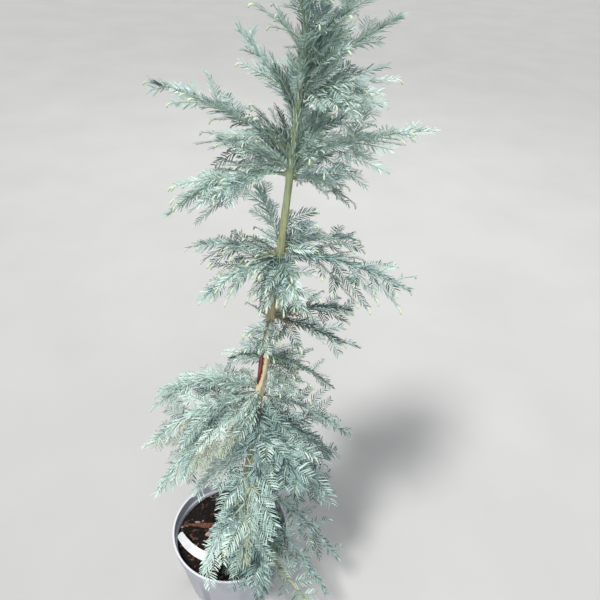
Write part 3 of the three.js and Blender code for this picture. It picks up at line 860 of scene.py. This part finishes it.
def joined(parts):
    """Several whole pieces as one."""
    spots, corners, sizes, slots = zip(*parts)
    shift = np.concatenate(([0], np.cumsum([len(each) for each in spots])[:-1]))
    corners = [each + start for each, start in zip(corners, shift)]
    return [np.concatenate(column) for column in (spots, corners, sizes, slots)]


def bud_mesh(each):
    """A soft new bud at a shoot's tip, hooked over and rounded at its end."""
    along, across, over = directions(each.line, 1.0)
    root = each.line(1.0) - along * 2.0
    size = min(1, BUD_LEAST + (1 - BUD_LEAST) * each.length / BUD_FULL_SHOOT)
    long = BUD_LENGTH * size
    bend, tip = along * long * 0.72 + UP * 0.8, along * long * 0.8 - UP * long * 0.55
    line, length = arc_line(root, root + bend, root + tip)
    def radii(t):
        rounded = np.sqrt(np.clip(1 - np.clip((t - 0.6) / 0.42, 0, 1) ** 2, 0.05, 1))
        return BUD_RADIUS * size * rounded * (0.3 + 0.7 * t)
    return slotted(tube(line, radii, BUD_RINGS, BUD_SIDES), BUD)


def twig_mesh(shoots, draws):
    """The shoots' own stems and their buds. A thick one is woody at its foot."""
    parts = [bud_mesh(each) for each in shoots if draws.random() < each.buds]
    for each in shoots:
        rings = max(3, int(each.length / 9) + 2)
        start, end = each.radii
        thick = start > THICK_TWIG
        sides = 7 if thick else 5
        stem = tube(each.line, lambda t: start + (end - start) * t, rings, sides, each.reference)
        ring = np.repeat(np.arange(rings - 1) / rings, sides)
        woody = (ring < 0.1) & thick | (each.tone == DEAD)
        bark = BARE if each.kind == "bare" else GREEN
        parts.append((*stem, np.concatenate((np.where(woody, WOODY, bark), [WOODY, bark]))))
    return joined(parts)


def add_mesh(name, mesh_data, materials, smooth=True):
    """A Blender object from arrays in millimetres. It rides on the plant's one body."""
    spots, corners, sizes, slots = mesh_data
    mesh = bpy.data.meshes.new(name)
    mesh.vertices.add(len(spots))
    mesh.vertices.foreach_set("co", (spots * MM).astype(np.float32).ravel())
    mesh.loops.add(len(corners))
    mesh.loops.foreach_set("vertex_index", corners.astype(np.int32))
    mesh.polygons.add(len(sizes))
    starts = np.concatenate(([0], np.cumsum(sizes)[:-1]))
    mesh.polygons.foreach_set("loop_start", starts.astype(np.int32))
    for each in materials:
        mesh.materials.append(each)
    mesh.polygons.foreach_set("material_index", np.asarray(slots, np.int32))
    mesh.polygons.foreach_set("use_smooth", np.full(len(sizes), smooth))
    mesh.update(calc_edges=True)
    piece = bpy.data.objects.new(name, mesh)
    bpy.context.scene.collection.objects.link(piece)
    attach(piece, "root")
    return piece


# Materials

def feed(tree, node, inputs):
    """Sets a node's inputs. Each is a value, or the output that is linked to it."""
    for key, value in inputs.items():
        if isinstance(value, bpy.types.NodeSocket):
            tree.links.new(value, node.inputs[key])
        else:
            node.inputs[key].default_value = value


def add_node(tree, kind, inputs, **settings):
    node = tree.nodes.new(kind)
    for key, value in settings.items():
        setattr(node, key, value)
    feed(tree, node, inputs)
    return node


def new_material(name):
    material = bpy.data.materials.new(name)
    material.use_nodes = True
    tree = material.node_tree
    return material, tree, tree.nodes["Principled BSDF"]


def object_place(tree):
    return add_node(tree, "ShaderNodeTexCoord", {}).outputs["Object"]


def object_noise(tree, scale, detail, stretch=(1, 1, 1)):
    """Noise over the part's own space, stretched along an axis where it is a grain."""
    mapping = add_node(tree, "ShaderNodeMapping", {"Vector": object_place(tree), "Scale": stretch})
    inputs = {"Vector": mapping.outputs["Vector"], "Scale": scale, "Detail": detail}
    return add_node(tree, "ShaderNodeTexNoise", inputs).outputs["Fac"]


def object_axes(tree):
    return add_node(tree, "ShaderNodeSeparateXYZ", {0: object_place(tree)}).outputs


def height_share(tree, low, high):
    """0 at one height of the part and 1 at another."""
    inputs = {"Value": object_axes(tree)["Z"], "From Min": low * MM, "From Max": high * MM}
    return add_node(tree, "ShaderNodeMapRange", inputs).outputs["Result"]


def ramp(tree, source, stops):
    """A colour ramp from (place, colour) stops."""
    node = add_node(tree, "ShaderNodeValToRGB", {"Fac": source})
    while len(node.color_ramp.elements) < len(stops):
        node.color_ramp.elements.new(0.5)
    for element, (place, value) in zip(node.color_ramp.elements, stops):
        element.position = place
        element.color = value
    return node.outputs["Color"]


def mixed(tree, factor, first, second, **settings):
    inputs = {"Factor": factor, "A": first, "B": second}
    return add_node(tree, "ShaderNodeMix", inputs, data_type="RGBA", **settings).outputs["Result"]


def combined(tree, operation, *values):
    """A math node's output. Each value is a number or another node's output."""
    return add_node(tree, "ShaderNodeMath", dict(enumerate(values)), operation=operation).outputs[0]


def grey(value):
    return (value, value, value, 1)


def shade(value, factor):
    return tuple(min(1.0, v * factor) for v in value[:3]) + (1.0,)


def stops_of(rings):
    return [(at, colour(*value)) for at, value in rings]


def add_bump(tree, shader, source, strength, distance):
    bump = add_node(tree, "ShaderNodeBump", {"Height": source, "Strength": strength, "Distance": distance})
    feed(tree, shader, {"Normal": bump.outputs["Normal"]})


def noise_material(name, scale, detail, stops, looks, bump=None):
    """A material coloured by one noise. bump is its relief's scale, detail, strength and distance."""
    material, tree, shader = new_material(name)
    feed(tree, shader, {"Base Color": ramp(tree, object_noise(tree, scale, detail), stops), **looks})
    if bump:
        add_bump(tree, shader, object_noise(tree, *bump[:2]), *bump[2:])
    return material


def needle_material(name):
    """Waxy needle of one base colour, a little uneven."""
    tone = colour(*NEEDLE_TONES[name])
    return noise_material(f"needle_{name}", 160, 2, ((0.3, shade(tone, 0.84)), (0.7, shade(tone, 1.12))),
                          {"Roughness": 0.62, "Specular IOR Level": 0.22, "Sheen Weight": 0.12})


def twig_material(name, low, high):
    return noise_material(name, 420, 4, stops_of(((0.3, low), (0.75, high))), {"Roughness": 0.7},
                          (420, 4, 0.4, 0.0006))


def bough_material():
    """Thin grey-brown bark of a bough, a little rough."""
    tones = ((0.3, (98, 86, 66)), (0.5, (140, 126, 98)), (0.75, (176, 164, 132)))
    return noise_material("bough_bark", 300, 5, stops_of(tones), {"Roughness": 0.8}, (300, 5, 0.5, 0.0008))


def crumb_material(name, low, middle, high):
    return noise_material(name, 260, 8, stops_of(((0.32, low), (0.5, middle), (0.72, high))),
                          {"Roughness": 0.9, "Specular IOR Level": 0.2}, (700, 6, 0.8, 0.0015))


def label_material():
    return noise_material("label_plastic", 60, 5, stops_of(((0.35, (206, 207, 210)), (0.7, (226, 227, 230)))),
                          {"Roughness": 0.38}, (500, 3, 0.08, 0.0002))


def scar_field(tree, pattern):
    """0 at the middle of the old wound, 1 at its edge and more outside it."""
    axes = object_axes(tree)
    middle, half = (SCAR_LOW + SCAR_HIGH) / 2, (SCAR_HIGH - SCAR_LOW) / 2
    axis, above = trunk_at(middle), trunk_at(middle + half)
    facing = math.radians(SCAR_HEADING)
    def plus(a, b):
        return combined(tree, "ADD", a, b)
    def minus(a, b):
        return combined(tree, "SUBTRACT", a, b)
    def times(a, b):
        return combined(tree, "MULTIPLY", a, b)
    z = minus(axes["Z"], middle * MM)
    x = minus(minus(axes["X"], float(axis[0]) * MM), times(z, float((above[0] - axis[0]) / half)))
    y = axes["Y"]
    out = plus(times(x, math.cos(facing)), times(y, math.sin(facing)))
    side = minus(times(y, math.cos(facing)), times(x, math.sin(facing)))
    turn = combined(tree, "DIVIDE", combined(tree, "ARCTAN2", side, out), math.radians(SCAR_HALF_WIDTH))
    rise = combined(tree, "DIVIDE", z, half * MM)
    far = combined(tree, "SQRT", plus(times(turn, turn), times(rise, rise)))
    return plus(far, times(minus(pattern, 0.5), 0.7))


def bark_material():
    """Fibrous bark: tan low down, cream round an old wound, olive above and green on this year's stem."""
    material, tree, shader = new_material("bark")
    zones = ramp(tree, height_share(tree, COMPOST_TOP, TRUNK_TOP), stops_of(BARK_ZONES))
    fibres = object_noise(tree, 520, 5, (1, 1, 0.07))
    dark, even, light = (0.42, 0.38, 0.34, 1), (0.86, 0.85, 0.83, 1), (1.2, 1.18, 1.12, 1)
    streaks = ramp(tree, fibres, ((0.3, dark), (0.48, even), (0.75, light)))
    sound = mixed(tree, 1.0, zones, streaks, blend_type="MULTIPLY")
    field = scar_field(tree, object_noise(tree, 240, 4, (1, 1, 0.3)))
    field_share = combined(tree, "MULTIPLY", field, 0.4)
    wound = ramp(tree, field_share, stops_of(SCAR_RINGS))
    cover = ramp(tree, field_share, ((0.54, grey(1)), (0.7, grey(0))))
    feed(tree, shader, {"Base Color": mixed(tree, cover, sound, wound), "Roughness": 0.78})
    add_bump(tree, shader, combined(tree, "ADD", fibres, combined(tree, "MINIMUM", field, 1.2)), 0.6, 0.0012)
    return material


def pot_material():
    """Moulded grey plastic with a lavender cast, chalky wear, and a painted highlight that makes the top of
    the rim paler.
    """
    material, tree, shader = new_material("pot_plastic")
    cloud = object_noise(tree, 14, 6)
    plastic = ((0.3, (164, 167, 178)), (0.55, (176, 179, 189)), (0.8, (188, 190, 198)))
    body = ramp(tree, cloud, stops_of(plastic))
    dust = ramp(tree, object_noise(tree, 300, 6), ((0.62, grey(0)), (0.8, grey(0.5))))
    # Painted highlight: the colour turns pale towards the top of the rim.
    rim = height_share(tree, POT_HEIGHT - RIM_HIGHLIGHT_DEPTH, POT_HEIGHT)
    edge = ramp(tree, rim, ((0.25, grey(0)), (0.85, grey(0.8))))
    dusty = mixed(tree, dust, body, colour(196, 192, 184))
    feed(tree, shader, {"Base Color": mixed(tree, edge, dusty, colour(222, 223, 228)),
                        "Roughness": ramp(tree, cloud, ((0.3, grey(0.36)), (0.8, grey(0.52))))})
    add_bump(tree, shader, object_noise(tree, 900, 2), 0.12, 0.0003)
    return material


# Trunk and boughs

def bark_height(t):
    return BARK_FOOT + (BARK_TOP - BARK_FOOT) * np.asarray(t, float)


def trunk_relief(limbs):
    """Fibrous ridges, a collar under each limb and the callus of the old wound, as a function for tube()."""
    def relief(t, turn):
        heights = bark_height(t)
        rough = np.zeros((len(t), len(turn)))
        for i, h in enumerate(heights):
            size = float(trunk_radius(h)) / TRUNK_BASE_RADIUS
            for j, a in enumerate(turn):
                x, y = math.cos(a), math.sin(a)
                ridge = noise.noise(Vector((x * 4.2, y * 4.2, h * 0.018)))
                strand = noise.noise(Vector((x * 11, y * 11, h * 0.05 + 40)))
                rough[i, j] = size * (1.1 * abs(ridge) - 0.3 + 0.4 * strand)
        for limb in limbs:
            apart = np.abs((turn - trunk_turn(limb.heading) + math.pi) % (2 * math.pi) - math.pi)
            swell = np.exp(-((heights - limb.height + 2) / COLLAR_HEIGHT) ** 2)[:, None]
            collar = 1.5 if "bough" in limb.marks else 0.9
            rough += collar * swell * np.exp(-(apart / COLLAR_TURN) ** 2)[None, :]
        middle, reach = (SCAR_LOW + SCAR_HIGH) / 2, (SCAR_HIGH - SCAR_LOW) / 2
        return rough + SCAR_SWELL * np.exp(-((heights - middle) / reach) ** 2)[:, None]
    return relief


def trunk_turn(heading):
    """The turn of the trunk's tube that faces a heading."""
    along, across, over = directions(lambda t: trunk_at(COMPOST_TOP + 900 * t), 0.5, 0.0, AWAY)
    out = aimed(heading, 0)
    return math.atan2(float(out @ over), float(out @ across))


def build_trunk(limbs, bark):
    def line(t):
        return trunk_at(bark_height(t))
    def radii(t):
        return trunk_radius(bark_height(t))
    stem = tube(line, radii, BARK_RINGS, BARK_SIDES, AWAY, trunk_relief(limbs))
    trunk = add_mesh("trunk_bark", slotted(stem), [bark])
    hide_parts("trunk")


def build_bough(limb, bark):
    """One bare bough, from inside the trunk to where its foliage starts."""
    seed = limb.number * 3.7
    def line(t):
        return limb.line(BARE_SHARE * 1.02 * np.asarray(t, float))
    def relief(t, turn):
        return np.array([[0.28 * noise.noise(Vector((math.cos(a) * 2.5, math.sin(a) * 2.5, seed + s * 5)))
                          for a in turn] for s in t])
    def radii(t):
        return BOUGH_BASE_RADIUS + (BOUGH_TIP_RADIUS - BOUGH_BASE_RADIUS) * t + 1.2 * np.exp(-t / 0.12)
    stem = tube(line, radii, BOUGH_RINGS, BOUGH_SIDES, UP, relief)
    bough = add_mesh(f"limb_{limb.name}", slotted(stem), [bark])
    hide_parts(f"bough_{limb.name}")


# Pot, compost and label

def wall_radius(height):
    return POT_BASE_RADIUS + (BAND_RADIUS - POT_WALL - POT_BASE_RADIUS) * (height / BAND_FOOT)


def rounded(corners, steps=4):
    """A profile with each (radius, height, fillet) corner rounded by an arc."""
    points = []
    for i, (x, y, fillet) in enumerate(corners):
        here = np.array([x, y], float)
        if fillet == 0:
            points.append(here)
            continue
        before, after = (np.array(corners[k][:2], float) - here for k in (i - 1, i + 1))
        reach = min(fillet, 0.45 * np.linalg.norm(before), 0.45 * np.linalg.norm(after))
        start, end = here + unit(before) * reach, here + unit(after) * reach
        for u in np.linspace(0, 1, steps):
            points.append((1 - u) ** 2 * start + 2 * u * (1 - u) * here + u * u * end)
    return np.array(points)


def turned(profile, sides):
    """A turned body from a profile that starts and ends on the axis."""
    turn = np.linspace(0, 2 * math.pi, sides, endpoint=False)
    inner = profile[1:-1]
    spots = np.stack((inner[:, None, 0] * np.cos(turn), inner[:, None, 0] * np.sin(turn),
                      np.repeat(inner[:, 1:2], sides, 1)), -1).reshape(-1, 3)
    spots = np.concatenate((spots, [[0, 0, profile[0][1]], [0, 0, profile[-1][1]]]))
    return spots, *capped(len(inner), sides, flipped=True)


def build_pot(material):
    underside = ((0, POT_HOLLOW, 0), (POT_BASE_RADIUS - FOOT_RING - 1, POT_HOLLOW, 2),
                 (POT_BASE_RADIUS - FOOT_RING, 0, 1), (POT_BASE_RADIUS - 1.5, 0, 2))
    outside_wall = ((wall_radius(3), 3, 1.5), (wall_radius(BAND_FOOT - 1), BAND_FOOT - 1, 1.5),
                    (BAND_RADIUS, BAND_FOOT + 1.5, 1.5))
    rim = ((BAND_RADIUS + 0.6, POT_HEIGHT - 4.2, 1), (POT_RIM_RADIUS, POT_HEIGHT - 3.6, 1.2),
           (POT_RIM_RADIUS, POT_HEIGHT, 1.4), (BAND_RADIUS - 1.2, POT_HEIGHT, 1.2))
    inside_wall = ((BAND_RADIUS - POT_WALL, BAND_FOOT + 2.5, 1.2),
                   (wall_radius(BAND_FOOT) - POT_WALL - 1.6, BAND_FOOT + 1.5, 0.8),
                   (wall_radius(3) - POT_WALL, POT_FLOOR, 2), (0, POT_FLOOR, 0))
    profile = rounded(underside + outside_wall + rim + inside_wall)
    pot = add_mesh("pot_body", slotted(turned(profile, POT_SIDES)), [material])
    for i in range(DRAIN_NOTCHES):
        cut_notch(pot, (i + 0.5) * 2 * math.pi / DRAIN_NOTCHES)
    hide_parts("pot")


def cut_notch(pot, turn):
    """Cuts one drain slot with round corners through the foot of the wall."""
    count, i = NOTCH_POINTS, np.arange(NOTCH_POINTS)
    arc = np.linspace(0, 2 * math.pi, count, endpoint=False)
    def squared(v):
        return np.sign(v) * np.abs(v) ** 0.5
    y = NOTCH_WIDTH / 2 * squared(np.cos(arc))
    z = POT_WALL + NOTCH_HEIGHT / 2 + NOTCH_HEIGHT / 2 * squared(np.sin(arc))
    rings = [np.stack((np.full(count, POT_BASE_RADIUS + x), y, z), -1) for x in (-NOTCH_DEPTH, NOTCH_DEPTH)]
    c, s = math.cos(turn), math.sin(turn)
    spots = np.concatenate(rings) @ np.array([[c, s, 0], [-s, c, 0], [0, 0, 1]])
    corners = np.concatenate((ring_quads(2, count, flipped=True), i[::-1], i + count))
    cutter = add_mesh("cutter", slotted((spots, corners, np.repeat((4, count), (count, 2)))), [])
    cut = pot.modifiers.new("notch", "BOOLEAN")
    cut.operation = "DIFFERENCE"
    cut.object = cutter
    apply_modifiers(pot)
    bpy.data.objects.remove(cutter)


def apply_modifiers(piece):
    """Leaves a piece with its modifiers' result as its own mesh."""
    graph = bpy.context.evaluated_depsgraph_get()
    result = bpy.data.meshes.new_from_object(piece.evaluated_get(graph))
    piece.modifiers.clear()
    piece.data = result


def compost_height(x, y):
    """Height of the compost's uneven top."""
    edge = wall_radius(BAND_FOOT) - POT_WALL
    slope = np.clip((np.hypot(x, y) - COMPOST_CROWN_RADIUS) / (edge - COMPOST_CROWN_RADIUS), 0, 1)
    clods = sum(size * noise.noise(Vector((x * scale, y * scale, scale))) for size, scale in COMPOST_CLODS)
    dip = COMPOST_DIP * slope * np.clip(-x / edge, 0, 1) * np.clip(0.6 + y / edge, 0, 1)
    return COMPOST_TOP - COMPOST_EDGE_DROP * slope - dip + clods - 0.6


def build_compost(material):
    floor = POT_WALL + 1.5
    edge = wall_radius(BAND_FOOT) - POT_WALL - 0.4
    low_edge = wall_radius(floor) - POT_WALL - 0.6
    turn = np.linspace(0, 2 * math.pi, COMPOST_SIDES, endpoint=False)
    spots = []
    for radius in np.linspace(1.0, edge, COMPOST_RINGS):
        for a in turn:
            x, y = radius * math.cos(a), radius * math.sin(a)
            spots.append((x, y, compost_height(x, y)))
    spots += [(low_edge * math.cos(a), low_edge * math.sin(a), floor) for a in turn]
    spots += [(0, 0, compost_height(0, 0)), (0, 0, floor)]
    bed = (np.array(spots), *capped(COMPOST_RINGS + 1, COMPOST_SIDES))
    compost = add_mesh("compost_bed", slotted(bed), [material])
    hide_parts("compost")


def lump(size, seed, segments=7, rings=5):
    """A closed knobbly lump of the given length, width and thickness."""
    spots = []
    for i in range(1, rings):
        up = math.pi * i / rings
        for j in range(segments):
            turn = 2 * math.pi * j / segments
            spot = Vector((math.sin(up) * math.cos(turn), math.sin(up) * math.sin(turn), math.cos(up))) * 0.5
            spots.append(tuple(spot * (1 + 0.5 * noise.noise(spot * 3.1 + Vector((seed, 0, 0))))))
    spots += [(0, 0, 0.5), (0, 0, -0.5)]
    spots = np.sign(spots) * np.abs(spots) ** 0.8 * np.asarray(size) * 0.9
    return spots, *capped(rings - 1, segments)


def turned_to(spots, yaw, pitch, place):
    turn = Matrix.Rotation(yaw, 3, "Z") @ Matrix.Rotation(pitch, 3, "Y")
    return spots @ np.array(turn).T + np.asarray(place)


def build_chips(materials):
    """Bark chips and crumbs lying on the compost, a long piece at the back left and a pale one before it."""
    draws = np.random.default_rng(SEED)
    parts = []
    for i in range(CHIP_COUNT):
        far, turn = CHIPS_WITHIN * math.sqrt(draws.random()), 2 * math.pi * draws.random()
        x, y = far * math.cos(turn), far * math.sin(turn)
        if math.hypot(x - TRUNK_FOOT_X, y) < TRUNK_CLEARANCE:
            continue
        length = CHIP_SHORTEST + (CHIP_LONGEST - CHIP_SHORTEST) * draws.random() ** 2.2
        size = (length, length * draws.uniform(0.3, 0.65), length * draws.uniform(0.15, 0.32))
        spots, *faces = lump(size, i * 1.7)
        place = (x, y, compost_height(x, y) + size[2] * 0.25)
        spots = turned_to(spots, draws.uniform(0, math.pi), draws.normal(0, 0.18), place)
        parts.append(slotted((spots, *faces), draws.choice(4, p=CHIP_TONES)))
    parts += [long_chip(), pale_chip()]
    chips = add_mesh("bark_chips", joined(parts), materials, smooth=False)


def long_chip():
    """The long piece of bark, wider towards its right end."""
    (x0, y0), (x1, y1) = LONG_CHIP
    spots, *faces = lump((math.hypot(x1 - x0, y1 - y0), 11, 5), 3.3, 14, 12)
    spots[:, 1] *= 0.95 + 0.6 * np.clip(spots[:, 0] / 30, -1, 1)
    middle = ((x0 + x1) / 2, (y0 + y1) / 2)
    place = (*middle, float(compost_height(*middle)) + 1.5)
    return slotted((turned_to(spots, math.atan2(y1 - y0, x1 - x0), 0.03, place), *faces), 2)


def pale_chip():
    spots, *faces = lump((13, 9, 6), 8.1, 9, 7)
    place = (*PALE_CHIP, float(compost_height(*PALE_CHIP)) + 1.5)
    return slotted((turned_to(spots, 0.5, 0.1, place), *faces), 3)


def build_label(material):
    """A blank strip with round corners, bent from the wall down onto the compost."""
    line, length = arc_line(*LABEL_LINE)
    t = np.linspace(0, 1, LABEL_STEPS)
    along, across, over = directions(line, t)
    roll = np.radians(np.linspace(*LABEL_ROLL, LABEL_STEPS))[:, None]
    across, over = across * np.cos(roll) - over * np.sin(roll), over * np.cos(roll) + across * np.sin(roll)
    near_end = np.clip(np.minimum(t, 1 - t) * length / LABEL_CORNER, 0, 1)
    wide = LABEL_WIDTH / 2 - LABEL_CORNER + LABEL_CORNER * np.sqrt(1 - (1 - near_end) ** 2)
    rows = []
    for side, lift in ((-1, 1), (1, 1), (1, -1), (-1, -1)):
        rows.append(line(t) + across * (side * wide)[:, None] + over * lift * LABEL_THICKNESS / 2)
    last = (LABEL_STEPS - 1) * 4
    corners = np.concatenate((ring_quads(LABEL_STEPS, 4, flipped=True), [3, 2, 1, 0], last + np.arange(4)))
    strip = (np.stack(rows, 1).reshape(-1, 3), corners, np.full(last + 2, 4))
    label = add_mesh("label_strip", slotted(strip), [material], smooth=False)
    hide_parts("plant_label")


# Foliage

def build_foliage(limbs, needles, wood):
    """Needles and twigs of each tier, in place of that tier's masses."""
    tiers = {"leader": leader_shoots()}
    masses = {"leader": ["foliage_leader"]}
    for limb in limbs:
        tiers.setdefault(limb.tier, []).extend(limb_shoots(limb))
        masses.setdefault(limb.tier, []).append(f"foliage_{limb.name}")
    tiers["crown"] += stem_shoots(limbs[0])
    tiers["foot"] += bare_twig(limbs[-1])
    for number, (tier, shoots) in enumerate(tiers.items()):
        draws = np.random.default_rng(SEED + number)
        rows = [needle_rows(each, draws) for each in shoots]
        rows += [crest_rows(each, draws) for each in shoots if each.kind == "limb"]
        rows += [stem_rows(draws)] if tier == "crown" else []
        rows = [np.concatenate(column) for column in zip(*rows)]
        kept = outside(rows[0], rows[1], rows[3])
        blades = needle_mesh([column[kept] for column in rows])
        spray = add_mesh(f"needles_{tier}", blades, needles, smooth=False)
        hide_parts(*masses[tier])
        twigs = add_mesh(f"twigs_{tier}", twig_mesh(shoots, draws), wood)


# Scene

def build_camera():
    camera = bpy.data.objects.new("camera", bpy.data.cameras.new("camera"))
    camera.data.lens = CAMERA_LENS
    camera.data.sensor_width = SENSOR_WIDTH
    pitch, roll = math.radians(CAMERA_PITCH), math.radians(CAMERA_ROLL)
    turn = Matrix.Rotation(math.pi / 2 - pitch, 4, "X") @ Matrix.Rotation(roll, 4, "Z")
    camera.matrix_world = Matrix.Translation(CAMERA_PLACE) @ turn
    bpy.context.scene.collection.objects.link(camera)
    bpy.context.scene.camera = camera


def add_light(name, kind, place, target, tint, **settings):
    light = bpy.data.lights.new(name, kind)
    light.color = tint
    for key, value in settings.items():
        setattr(light, key, value)
    lamp = bpy.data.objects.new(name, light)
    way = Vector(target) - Vector(place)
    lamp.matrix_world = Matrix.Translation(place) @ way.to_track_quat("-Z", "Y").to_matrix().to_4x4()
    bpy.context.scene.collection.objects.link(lamp)


def build_lights():
    """Two soft suns, which are as even on the far floor as on the plant, two lamps and an even sky."""
    foot, middle = (0, 0, 0), (0.07, 0, 0.7)
    add_light("key", "SUN", (-0.9, -1.2, 2.9), foot, (1.0, 0.985, 0.96), energy=3.15, angle=math.radians(10))
    add_light("front", "SUN", (0.5, -2.6, 1.3), foot, (0.96, 0.98, 1.0), energy=0.75, angle=math.radians(40))
    add_light("fill", "AREA", (2.0, -1.0, 2.0), middle, (0.94, 0.97, 1.0), shape="DISK", size=2.2, energy=10)
    add_light("back", "AREA", (0.3, 2.4, 2.6), middle, (1.0, 1.0, 1.0), shape="DISK", size=2.0, energy=30)
    world = bpy.data.worlds.new("sky")
    world.use_nodes = True
    background = world.node_tree.nodes["Background"]
    feed(world.node_tree, background, {"Color": (0.92, 0.96, 1.0, 1), "Strength": SKY_STRENGTH})
    bpy.context.scene.world = world
    bpy.context.scene.view_settings.view_transform = "Standard"


def build_floor():
    bpy.ops.mesh.primitive_circle_add(vertices=96, radius=FLOOR_RADIUS, fill_type="NGON")
    floor = bpy.context.object
    floor.name = "floor"
    stops = ((0.3, (0.46, 0.46, 0.455, 1)), (0.7, (0.49, 0.49, 0.485, 1)))
    floor.data.materials.append(noise_material("pale_floor", 3, 3, stops, {"Roughness": 0.9}))


def build_potting():
    build_pot(pot_material())
    build_compost(crumb_material("compost_fibre", (8, 7, 6), (20, 16, 14), (48, 38, 31)))
    build_chips([
        crumb_material("chip_dark", (12, 10, 9), (26, 21, 18), (48, 39, 33)),
        crumb_material("chip_brown", (42, 31, 26), (66, 50, 41), (104, 84, 71)),
        crumb_material("chip_red", (76, 50, 42), (106, 70, 58), (138, 102, 88)),
        crumb_material("chip_pale", (132, 108, 98), (170, 144, 132), (204, 182, 170)),
    ])
    build_label(label_material())


def build_plant():
    limbs = all_limbs()
    bark = bark_material()
    needles = [needle_material(name) for name in NEEDLE_TONES]
    wood = [twig_material("twig_woody", (118, 90, 70), (160, 128, 102)),
            twig_material("twig_green", (122, 142, 112), (164, 182, 150)),
            twig_material("bud_green", (196, 211, 174), (224, 232, 206)),
            twig_material("twig_bare", (150, 152, 108), (188, 188, 146))]
    build_trunk(limbs, bark)
    thin_bark = bough_material()
    for limb in limbs:
        if "bough" in limb.marks:
            build_bough(limb, bark if limb.height > GREEN_BOUGHS_FROM else thin_bark)
    build_foliage(limbs, needles, wood)


build_camera()
build_floor()
build_lights()
build_potting()
build_plant()
bpy.context.view_layer.update()
